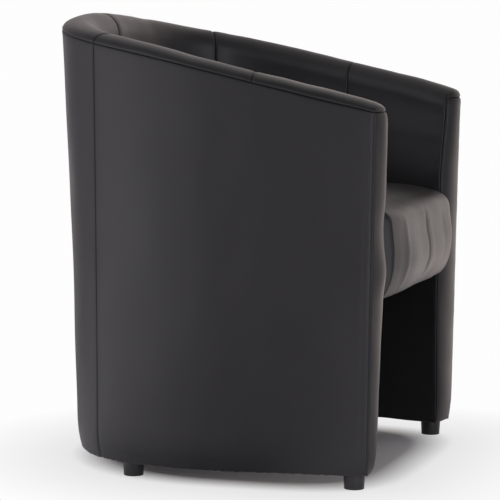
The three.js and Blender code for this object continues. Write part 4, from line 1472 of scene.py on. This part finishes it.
def seat_folds(points, normals, sizes):
    """The soft folds and hollows of a seat that has been sat on."""
    x, y, z = points.T
    ahead = smooth(*APRON_FACING, -normals[:, 1])
    level = smooth(*TOP_FACING, normals[:, 2])
    rise = np.zeros(len(points))
    for place, width, depth, low, high in FRONT_FOLDS:
        rise += ahead * depth * crease(x, z, place, width, low, high, CREASE_LEAN)
    rise += ahead * ripple(APRON_RIPPLE, x, z * APRON_STRETCH, 31)
    rise += level * ripple(TOP_BROAD, x, y, 32)
    rise += level * ripple(TOP_FINE, x, y * TOP_STRETCH, 33)
    rise += ripple(ALL_OVER, x + y, z, 34)
    low = 1 - smooth(sizes.seat_bottom, sizes.seat_bottom + SEAT_HEM_HEIGHT, z)
    rise += low * ripple(SEAT_HEM_GATHERS, x + y, z * SEAT_HEM_STRETCH, 35)
    return points + normals * rise[:, None]


SWELL = 0.006
PRESSURE = 4
CLOTH_QUALITY = 5
CLOTH_FRAMES = 20
EVEN_ROUNDS = 24
EVEN_SHARE = 0.5
HELD_HEIGHT = 0.02
HELD_BELOW_EDGE = 0.004
SEAT_HEM_START = 0.002
SEAT_HEM_ROWS = 5


def pressed(piece, held, cap):
    """How far a skin swells outwards at each point under air pressure, up to a cap."""
    ghost = piece.copy()
    ghost.data = piece.data.copy()
    bpy.context.collection.objects.link(ghost)
    start = vertices_of(ghost)
    outward = normals_at(ghost)
    group = ghost.vertex_groups.new(name="held")
    group.add([int(k) for k in np.flatnonzero(held)], 1.0, "REPLACE")
    take(ghost)
    bpy.ops.object.modifier_add(type="CLOTH")
    cloth = ghost.modifiers[-1]
    cloth.settings.vertex_group_mass = "held"
    cloth.settings.use_pressure = True
    cloth.settings.uniform_pressure_force = PRESSURE
    cloth.settings.effector_weights.gravity = 0
    cloth.settings.quality = CLOTH_QUALITY
    cloth.point_cache.frame_start = 1
    cloth.point_cache.frame_end = CLOTH_FRAMES
    for step in range(1, CLOTH_FRAMES + 1):
        bpy.context.scene.frame_set(step)
    bpy.ops.object.modifier_apply(modifier=cloth.name)
    moved = vertices_of(ghost) - start
    bpy.data.objects.remove(ghost)
    bpy.context.scene.frame_set(1)
    return evened(piece, np.clip(np.sum(moved * outward, axis=1), 0, cap))


def evened(piece, values):
    """Values at a piece's vertices, each drawn towards its neighbours' mean."""
    ends = np.array([edge.vertices for edge in piece.data.edges]).T
    neighbours = np.maximum(np.bincount(ends.ravel(), minlength=len(values)), 1)
    for _ in range(EVEN_ROUNDS):
        total = np.bincount(ends[0], values[ends[1]], len(values))
        total += np.bincount(ends[1], values[ends[0]], len(values))
        values = mix(values, total / neighbours, EVEN_SHARE)
    return values


class CHAIR_OT_seat(bpy.types.Operator):
    """Add the seat leather, swelled over its foam, with its folds and its hem"""

    bl_idname = "chair.seat"
    bl_label = "Seat"

    def execute(self, context):
        sizes = context.scene.chair_sizes
        seat = Seat(sizes)
        hem = [
            seat.ring(inset, inset, sizes.seat_bottom)
            for inset in np.linspace(SEAT_HEM_START, sizes.hem_turn, SEAT_HEM_ROWS)
        ]
        skin = seat.skin(0.0, sizes.seat_bottom + SEAT_HEM_START)
        rings = np.concatenate([skin, seat.filled(np.array(hem))])
        piece = add_rings("seat_leather", rings, False)
        points = vertices_of(piece)
        corner = seat.stand["point"][-2][1]
        below_edge = points[:, 2] < sizes.seat_edge - HELD_BELOW_EDGE
        beside = (points[:, 1] > corner) & below_edge
        held = (points[:, 2] < sizes.seat_bottom + HELD_HEIGHT) | beside
        swell = pressed(piece, held, SWELL)
        points = points + normals_at(piece) * swell[:, None]
        reshape(piece, points)
        reshape(piece, seat_folds(points, normals_at(piece), sizes))
        modify(piece, "SUBSURF", levels=1, render_levels=1)
        finish_cover(context, piece, "seat_cover")
        return {"FINISHED"}


# Padding inside the covers


PAD_GAP = 0.006
FIT = 0.0003
WALL_FLOOR = 0.0506
FOAM_BACK = 0.0382
SHELF_DROP = 0.020
DECK = 0.3602
FRONT_BOARD = 0.0148
BOARD_GAP = 0.0026
ARM_FOAM_END = 0.0156
FOAM_COLUMNS = 90
BACK_ROWS = 40
LEDGE_ROWS = 6
FOAM_ARCH = (0.25, math.pi, 24)
FALL_ROWS = 60
FOAM_RIPPLE = (0.0006, 0.05)
FOAM_ANGLE = 40
PAD_SPAN = (0.14, 0.86)
PAD_COLUMNS = 20
PAD_ROWS = 90
PAD_BASE = 0.02
PAD_DROP = 0.012
LEAST_PAD = 0.0008
BOARD_COLUMNS = 6
BOARD_ROWS = 50
BOARD_ARCH = (0.15, math.pi, 30)
SEAT_FOAM_STEP = 0.009
ROLL_ROWS = 12


def wall_foam_loops(wall, shares):
    """Closed outlines of the foam over the rim and down the inner face."""
    stand = wall.stand(shares)
    count = len(stand["rim"])
    shelf = stand["frame_rim"][:, None] - SHELF_DROP
    climb = np.linspace(0, 1, BACK_ROWS)
    depth = [np.full((count, BACK_ROWS), FOAM_BACK)]
    height = [mix(WALL_FLOOR, shelf, climb[None, :])]
    ledge = np.linspace(FOAM_BACK, PAD_GAP, LEDGE_ROWS)[1:]
    depth.append(np.tile(ledge, (count, 1)))
    height.append(np.tile(shelf, (1, len(ledge))))
    rim_depth, rim_height = wall.arch(stand, np.linspace(*FOAM_ARCH), PAD_GAP)
    depth.append(rim_depth)
    height.append(np.maximum(rim_height, shelf))
    fall = np.linspace(0, 1, FALL_ROWS)[1:]
    high = mix(stand["rim"][:, None] - wall.sizes.inner_drop, WALL_FLOOR, fall[None, :])
    depth.append(wall.thickness(stand, high) - PAD_GAP)
    height.append(high)
    return wall.place(stand, np.concatenate(depth, axis=1), np.concatenate(height, axis=1))


def finish_foam(context, piece, node):
    points = vertices_of(piece)
    normals = normals_at(piece)
    rise = ripple(FOAM_RIPPLE, points[:, 0] + points[:, 1], points[:, 2], 41)
    reshape(piece, points - normals * np.abs(rise)[:, None])
    soften(piece, FOAM_ANGLE)
    dress(piece, foam_of(context), "foam", node)


class CHAIR_OT_padding(bpy.types.Operator):
    """Add the foam inside the wall, the arm fronts and the seat, and the arm-front boards"""

    bl_idname = "chair.padding"
    bl_label = "Padding"

    def execute(self, context):
        sizes = context.scene.chair_sizes
        wall = Wall(sizes)
        seam = sizes.rear_seam
        gap = sizes.seam_gap / wall.length
        board = 1 - ARM_FOAM_END / wall.length
        shares = np.linspace(gap - seam, seam - gap, FOAM_COLUMNS)
        back = add_tube("back_padding", wall_foam_loops(wall, shares))
        finish_foam(context, back, "back_foam")
        for side, sign in SIDES:
            shares = np.linspace(seam + gap, board, FOAM_COLUMNS) * sign
            arm = add_tube(f"arm_padding_{side}", wall_foam_loops(wall, shares))
            finish_foam(context, arm, f"arm_foam_{side}")
            self.front(context, wall, side, sign)
        self.seat(context)
        return {"FINISHED"}

    def front(self, context, wall, side, sign):
        """The wadding between an arm's front board and its leather, then the board."""
        sizes = wall.sizes
        stand = wall.stand([sign * NEARLY_FRONT])
        columns = np.linspace(*PAD_SPAN, PAD_COLUMNS)
        top = stand["seam"][0] - PAD_DROP
        height = np.linspace(sizes.clearance + PAD_BASE, top, PAD_ROWS)
        depth = facing_span(wall, stand, height)[:, None] * columns[None, :]
        levels = np.repeat(height[:, None], PAD_COLUMNS, axis=1)
        flat = front_points(wall, stand, depth, levels)
        proud = facing_proud(wall, stand, columns[None, :] + 0 * depth, levels)
        forward = forward_of(stand)
        front = flat + forward * np.maximum(proud - PAD_GAP, LEAST_PAD)[:, :, None]
        back = flat + forward * FIT
        loops = np.concatenate([front, back[:, ::-1]], axis=1)
        pad = add_tube(f"arm_front_padding_{side}", loops)
        finish_foam(context, pad, f"arm_front_pad_{side}")
        self.board(context, wall, side, sign)

    def board(self, context, wall, side, sign):
        """The upright board at an arm's front, its top corner rounded like the rim over it."""
        sizes = wall.sizes
        rear = 1 - FRONT_BOARD / wall.length
        stand = wall.stand(np.linspace(rear, NEARLY_FRONT, BOARD_COLUMNS) * sign)
        under = BOARD_GAP
        climb = np.linspace(0, 1, BOARD_ROWS)[None, :]
        base = sizes.clearance + under
        high = mix(base, stand["seam"][:, None], climb)
        outer = np.full(high.shape, under)
        rim_depth, rim_height = wall.arch(stand, np.linspace(*BOARD_ARCH), under)
        fall = mix(stand["rim"][:, None] - sizes.inner_drop, base, climb[:, 1:])
        inner = wall.thickness(stand, fall) - under
        depths = np.concatenate([outer, rim_depth, inner], axis=1)
        heights = np.concatenate([high, rim_height, fall], axis=1)
        piece = add_tube(f"arm_front_timber_{side}", wall.place(stand, depths, heights))
        soften(piece, FOAM_ANGLE)
        dress(piece, upright_timber_of(context), "timber", f"arm_front_board_{side}")

    def seat(self, context):
        """The crowned block on the webbing, and the roll behind the apron."""
        sizes = context.scene.chair_sizes
        seat = Seat(sizes)
        block = add_rings("seat_padding", seat.skin(PAD_GAP, DECK, SEAT_FOAM_STEP), True)
        finish_foam(context, block, "seat_foam")
        low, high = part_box("seat_front_roll")
        levels = np.linspace(low[2], high[2], ROLL_ROWS)
        rear = high[1]
        first = Seat.SIDE_STEPS + Seat.CORNER_STEPS
        span = 2 * (Seat.FRONT_STEPS - 1) + 1
        loops = []
        for level in levels:
            line = seat.ring(PAD_GAP, PAD_GAP, level)[first : first + span]
            behind = line[::-1].copy()
            behind[:, 1] = rear
            loops.append(np.concatenate([line, behind]))
        roll = add_tube("seat_front_padding", np.array(loops))
        finish_foam(context, roll, "seat_front_roll")


# Feet and the underside


LEVEL_FIT = 1e-5
LEVEL_NORMAL = 0.9
FOOT_SIDES = 64
FOOT_BOSS = 0.0023
FOOT_RIM = 0.003
FOOT_STEP = 0.0005
FOOT_SINK = 0.0012
FOOT_SHOULDER = 0.008
FOOT_BORE_WALL = 0.0057
FOOT_BORE = 0.0123
FOOT_ROUNDING = 0.0014
FOOT_SEGMENTS = 4
FOOT_SHARP = 0.6
FOOT_ANGLE = 35


def flat_faces(piece, level, up):
    """Selects the faces that lie level at a height, and nothing else."""
    take(piece)
    bpy.ops.object.mode_set(mode="EDIT")
    bpy.ops.mesh.select_mode(type="FACE")
    bpy.ops.mesh.select_all(action="DESELECT")
    bpy.ops.object.mode_set(mode="OBJECT")
    for face in piece.data.polygons:
        face.select = abs(face.center.z - level) < LEVEL_FIT and face.normal.z * up > LEVEL_NORMAL
    bpy.ops.object.mode_set(mode="EDIT")


def add_foot(context, name, node, middle):
    """A moulded glide: a tapered drum with a rounded rim, a sunk face and a bored boss."""
    sizes = context.scene.chair_sizes
    top = sizes.clearance - FIT
    boss = top + FOOT_BOSS
    deselect()
    bpy.ops.mesh.primitive_cylinder_add(
        vertices=FOOT_SIDES, radius=sizes.foot_width / 2, depth=top, location=(*middle, top / 2)
    )
    piece = context.object
    piece.name = piece.data.name = name
    bpy.ops.object.transform_apply(location=True, rotation=True, scale=True)
    share = 1 - sizes.foot_taper / sizes.foot_width
    flat_faces(piece, 0.0, -1)
    bpy.ops.transform.resize(value=(share, share, 1), center_override=(*middle, 0))
    bpy.ops.mesh.inset(thickness=FOOT_RIM)
    bpy.ops.mesh.inset(thickness=FOOT_STEP)
    bpy.ops.transform.translate(value=(0, 0, FOOT_SINK))
    bpy.ops.object.mode_set(mode="OBJECT")
    flat_faces(piece, top, 1)
    bpy.ops.mesh.inset(thickness=FOOT_SHOULDER)
    bpy.ops.mesh.extrude_region_move(TRANSFORM_OT_translate={"value": (0, 0, boss - top)})
    bpy.ops.mesh.inset(thickness=FOOT_BORE_WALL)
    bpy.ops.mesh.extrude_region_move(TRANSFORM_OT_translate={"value": (0, 0, -FOOT_BORE)})
    bpy.ops.object.mode_set(mode="OBJECT")
    modify(
        piece,
        "BEVEL",
        width=FOOT_ROUNDING,
        segments=FOOT_SEGMENTS,
        limit_method="ANGLE",
        angle_limit=FOOT_SHARP,
    )
    soften(piece, FOOT_ANGLE)
    material = made_material(
        "moulded_plastic", lambda: plastic_material(context.scene.chair_colours)
    )
    return dress(piece, material, "foot", node)


class CHAIR_OT_feet(bpy.types.Operator):
    """Add the four moulded feet where the frame's feet stand"""

    bl_idname = "chair.feet"
    bl_label = "Feet"

    def execute(self, context):
        for end in ("front", "rear"):
            for side, _ in SIDES:
                node = f"foot_{end}_{side}"
                low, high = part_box(node)
                middle = ((low[0] + high[0]) / 2, (low[1] + high[1]) / 2)
                add_foot(context, f"moulded_foot_{end}_{side}", node, middle)
        return {"FINISHED"}


CLOTH_MARGIN = 0.006
CLOTH_DROP = 0.0006
CLOTH_RINGS = 40
CLOTH_MIDDLE = 0.02
CLOTH_SAG = 0.006
CLOTH_SAG_SHARE = 0.4
CLOTH_PULL = 0.0007
CLOTH_PULL_SHARE = 0.25
CLOTH_PULL_PITCH = 0.045
CLOTH_THICKNESS = 0.0004


class CHAIR_OT_underside(bpy.types.Operator):
    """Add the dust cloth that is stretched under the seat"""

    bl_idname = "chair.underside"
    bl_label = "Underside"

    def execute(self, context):
        sizes = context.scene.chair_sizes
        seat = Seat(sizes)
        level = sizes.seat_bottom - CLOTH_DROP
        edge = seat.filled(seat.ring(CLOTH_MARGIN, CLOTH_MARGIN, sizes.seat_bottom))
        edge[:, 2] += level - sizes.seat_bottom
        rings = []
        for share in np.linspace(1, CLOTH_MIDDLE, CLOTH_RINGS):
            ring = edge.copy()
            ring[:, :2] = mix(seat.middle, edge[:, :2], share)
            sag = CLOTH_SAG * (1 - share**2) * smooth(0, CLOTH_SAG_SHARE, 1 - share)
            pull = CLOTH_PULL * (1 - smooth(0, CLOTH_PULL_SHARE, 1 - share))
            around = np.cumsum(np.r_[0, np.hypot(*np.diff(ring[:, :2], axis=0).T)])
            turns = around * math.tau / (CLOTH_PULL_PITCH * share)
            ring[:, 2] -= sag + pull * (1 - np.cos(turns)) / 2
            rings.append(ring)
        piece = add_rings("dust_cloth", np.array(rings[::-1]), False)
        piece_normals = normals_at(piece)
        if piece_normals[:, 2].mean() > 0:
            edit(piece, bpy.ops.mesh.flip_normals)
        thicken(piece, CLOTH_THICKNESS)
        soften(piece)
        material = made_material(
            "spunbond_lining", lambda: lining_material(context.scene.chair_colours)
        )
        dress(piece, material, "lining", "seat_dust_cover")
        return {"FINISHED"}


# Finishes of the frame inside the covers


class CHAIR_OT_frame(bpy.types.Operator):
    """Finish the posts, rails, boards, straps and fasteners of the frame"""

    bl_idname = "chair.frame"
    bl_label = "Frame"

    def execute(self, context):
        colours = context.scene.chair_colours
        upright = upright_timber_of(context)
        crosswise = wood_material("cross_grain_timber", colours.timber, ACROSS_GRAIN, FIGURE)
        lengthwise = wood_material("long_grain_timber", colours.timber, FORWARD_GRAIN, FIGURE)
        bent = wood_material("bent_fibre_board", colours.board, UPRIGHT_GRAIN, FIGURE)
        finishes = (
            (("strap",), webbing_material(colours)),
            (("stud", "bolt"), steel_material(colours)),
            (("rail_back", "rail_rear", "rail_front"), crosswise),
            (("post", "front_board"), upright),
            (("rail", "ledger"), lengthwise),
            (("board",), bent),
        )
        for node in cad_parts:
            named = [finish for words, finish in finishes if any(word in node for word in words)]
            for slot in bpy.data.objects[node].material_slots:
                if named:
                    slot.material = named[0]
        return {"FINISHED"}


# Stage


LENS = 174.14
CAMERA = (-4.0631, -1.2521, 0.778)
LOOK_AT = (0.0, 0.0122, 0.3582)
ROLL = 0.4168

# Places on the floor, in footprints: where its own white starts, reaches a share, and is full. The
# white is a painted glow that washes out the floor's shade outside the chair's footprint.
SHADE_END, BESIDE, OPEN = 0.78, 1.0, 1.75
BESIDE_SHARE = 0.74
# Where the floor's painted glow is full in reflections, and its share beside the chair
GLOSS_OPEN = 3.2
GLOSS_SHARE = 0.22
WHITE = (0.985, 0.985, 0.985, 1)
COOL_LIGHT = (1.0, 0.965, 1.035, 1)
WARM_LIGHT = (1.12, 0.98, 0.90, 1)
SENSOR = 36
FLOOR_SIZE = 60
LAMP_PLACE = (0.4, 0.2, 3.2)
LAMP_TARGET = (0, 0, 0.3)
LAMP_SIZE = (2.6, 2.6)
LAMP_POWER = 8
LAMP_COLOUR = (1.0, 0.98, 0.95)


def aim(piece, target, roll=0.0):
    way = Vector(target) - piece.location
    piece.rotation_euler = way.to_track_quat("-Z", "Y").to_euler()
    piece.rotation_euler.rotate_axis("Z", math.radians(roll))


def add_lamp(name, place, target, size, power, colour):
    data = bpy.data.lights.new(name, "AREA")
    data.shape = "RECTANGLE"
    data.size, data.size_y = size
    data.energy = power
    data.color = colour
    lamp = bpy.data.objects.new(name, data)
    lamp.location = place
    bpy.context.collection.objects.link(lamp)
    aim(lamp, target)
    return lamp


# Directions in the studio: towards its three brighter sides, and overhead
WINDOW_SIDE = (0.98, -0.18, 0.0)
REAR_SIDE = (-0.62, 0.78, 0.12)
FRONT_SIDE = (-0.74, -0.67, 0.0)
OVERHEAD = (0, 0, 1)

# For each, the cosines where its light starts and is full, and how much it adds
WINDOW_GLOW = (0.30, 0.96, 0.80)
REAR_GLOW = (0.64, 1.0, 1.15)
FRONT_GLOW = (0.90, 1.0, 2.0)
OVERHEAD_GLOW = (0.05, 0.8, -0.18)

BASE_LEVEL = 0.39


def studio_level(tree, way):
    """How bright the studio is in a direction, and the share of warm window light in it."""

    def facing(side, low, high, top):
        toward = vector_math(tree, "DOT_PRODUCT", way, side).outputs["Value"]
        return ranged(tree, toward, 0, top, low, high)

    window = facing(WINDOW_SIDE, *WINDOW_GLOW)
    level = sums(tree, "ADD", window, BASE_LEVEL)
    for side, glow in ((REAR_SIDE, REAR_GLOW), (FRONT_SIDE, FRONT_GLOW), (OVERHEAD, OVERHEAD_GLOW)):
        level = sums(tree, "ADD", level, facing(side, *glow))
    return level, window


def studio_tone(tree, window, camera_ray):
    """Cool light away from the window and warm light towards it, and white for the camera."""
    return blend(tree, camera_ray, blend(tree, window, COOL_LIGHT, WARM_LIGHT), WHITE)


def footprint_share(tree, place, sizes):
    """How far out a point of the floor lies, as a share of the chair's rounded footprint."""
    scaled = vector_math(tree, "MULTIPLY", place, (2 / sizes.width, 2 / sizes.depth, 0)).outputs[0]
    square = vector_math(tree, "MULTIPLY", scaled, scaled).outputs[0]
    fourth = vector_math(tree, "DOT_PRODUCT", square, square).outputs["Value"]
    ahead = sums(tree, "POWER", fourth, 0.25)
    behind = vector_math(tree, "LENGTH", scaled).outputs["Value"]
    rear = add_node(tree, "ShaderNodeSeparateXYZ", {0: scaled}).outputs["Y"]
    return blend(tree, sums(tree, "GREATER_THAN", rear, 0), ahead, behind)


def floor_material(sizes, colours):
    """A pale floor near the chair that fades into the white backdrop. Outside the chair's footprint it
    glows, a painted brightness for the camera and a painted reflection for glossy rays, so that its
    shade keeps to the footprint.
    """
    material, tree, shader = new_material("studio_floor")
    place = place_of(tree)
    out = footprint_share(tree, place, sizes)
    way = vector_math(tree, "NORMALIZE", place).outputs[0]
    mottle = noise(tree, place, 3, 3)
    base = blend(tree, mottle, tinted(colours.floor, 0.985), tinted(colours.floor, 1.01))
    fill_inputs(tree, shader, {"Base Color": base, "Roughness": 0.7})
    shader.inputs["Specular IOR Level"].default_value = 0.1
    rays = add_node(tree, "ShaderNodeLightPath")
    seen = sums(tree, "MAXIMUM", rays.outputs["Is Camera Ray"], rays.outputs["Is Glossy Ray"])
    seen = sums(tree, "MAXIMUM", seen, rays.outputs["Is Transmission Ray"])
    seen_close = ranged(tree, out, 0, BESIDE_SHARE, SHADE_END, BESIDE)
    seen_far = ranged(tree, out, 0, 1 - BESIDE_SHARE, BESIDE, OPEN)
    gloss_close = ranged(tree, out, 0, GLOSS_SHARE, SHADE_END, BESIDE)
    gloss_far = ranged(tree, out, 0, 1 - GLOSS_SHARE, BESIDE, GLOSS_OPEN)
    shown = blend(
        tree,
        rays.outputs["Is Glossy Ray"],
        sums(tree, "ADD", seen_close, seen_far),
        sums(tree, "ADD", gloss_close, gloss_far),
    )
    # Painted glow: the floor gives off the studio's light in reflections and white to the camera,
    # though it is no lamp.
    level, window = studio_level(tree, way)
    strength = sums(tree, "MAXIMUM", level, rays.outputs["Is Camera Ray"])
    strength = sums(tree, "MINIMUM", strength, sums(tree, "ADD", 1, rays.outputs["Is Glossy Ray"]))
    tone = studio_tone(tree, window, rays.outputs["Is Camera Ray"])
    painted_glow = add_node(tree, "ShaderNodeEmission", {"Color": tone, "Strength": strength})
    mixed = add_node(tree, "ShaderNodeMixShader", {0: sums(tree, "MULTIPLY", shown, seen)})
    tree.links.new(shader.outputs[0], mixed.inputs[1])
    tree.links.new(painted_glow.outputs[0], mixed.inputs[2])
    tree.links.new(mixed.outputs[0], tree.nodes["Material Output"].inputs["Surface"])
    return material


def light_world(scene):
    """Soft light all round, brighter from three sides and dimmer overhead."""
    world = bpy.data.worlds.new("studio")
    scene.world = world
    world.use_nodes = True
    tree = world.node_tree
    background = tree.nodes["Background"]
    way = add_node(tree, "ShaderNodeTexCoord").outputs["Generated"]
    level, window = studio_level(tree, way)
    rays = add_node(tree, "ShaderNodeLightPath").outputs["Is Camera Ray"]
    tree.links.new(studio_tone(tree, window, rays), background.inputs["Color"])
    unseen = sums(tree, "MULTIPLY", level, sums(tree, "SUBTRACT", 1, rays))
    tree.links.new(sums(tree, "ADD", unseen, rays), background.inputs["Strength"])


class CHAIR_OT_stage(bpy.types.Operator):
    """Set the camera, the pale floor and the soft studio light"""

    bl_idname = "chair.stage"
    bl_label = "Stage"

    def execute(self, context):
        scene = context.scene
        deselect()
        bpy.ops.mesh.primitive_plane_add(size=FLOOR_SIZE, location=(0, 0, 0))
        floor = context.object
        floor.name = floor.data.name = "studio_floor"
        floor.data.materials.append(floor_material(scene.chair_sizes, scene.chair_colours))
        light_world(scene)
        add_lamp("top_light", LAMP_PLACE, LAMP_TARGET, LAMP_SIZE, LAMP_POWER, LAMP_COLOUR)
        data = bpy.data.cameras.new("photo_camera")
        data.lens = LENS
        data.sensor_width = SENSOR
        data.sensor_fit = "HORIZONTAL"
        camera = bpy.data.objects.new("photo_camera", data)
        camera.location = CAMERA
        context.collection.objects.link(camera)
        aim(camera, LOOK_AT, ROLL)
        scene.camera = camera
        scene.view_settings.view_transform = "Standard"
        return {"FINISHED"}


class CHAIR_PT_panel(bpy.types.Panel):
    """The chair's pieces, in the order in which they are added"""

    bl_idname = "CHAIR_PT_panel"
    bl_label = "Tub Chair"
    bl_space_type = "VIEW_3D"
    bl_region_type = "UI"
    bl_category = "Tub Chair"

    def draw(self, context):
        layout = self.layout
        for operator in OPERATORS:
            layout.operator(operator.bl_idname)
        for group in (context.scene.chair_sizes, context.scene.chair_colours):
            box = layout.box()
            for name in group.__annotations__:
                box.prop(group, name)


OPERATORS = (
    CHAIR_OT_stage,
    CHAIR_OT_outer_covers,
    CHAIR_OT_inner_covers,
    CHAIR_OT_arm_fronts,
    CHAIR_OT_seat,
    CHAIR_OT_padding,
    CHAIR_OT_feet,
    CHAIR_OT_underside,
    CHAIR_OT_frame,
)
CLASSES = (ChairSizes, ChairColours, *OPERATORS, CHAIR_PT_panel)


def register():
    for item in CLASSES:
        bpy.utils.register_class(item)
    bpy.types.Scene.chair_sizes = PointerProperty(type=ChairSizes)
    bpy.types.Scene.chair_colours = PointerProperty(type=ChairColours)


def unregister():
    del bpy.types.Scene.chair_colours
    del bpy.types.Scene.chair_sizes
    for item in reversed(CLASSES):
        bpy.utils.unregister_class(item)


def main():
    register()
    bpy.ops.chair.stage()
    bpy.ops.chair.outer_covers()
    bpy.ops.chair.inner_covers()
    bpy.ops.chair.arm_fronts()
    bpy.ops.chair.seat()
    bpy.ops.chair.padding()
    bpy.ops.chair.feet()
    bpy.ops.chair.underside()
    bpy.ops.chair.frame()


if __name__ == "__main__":
    main()
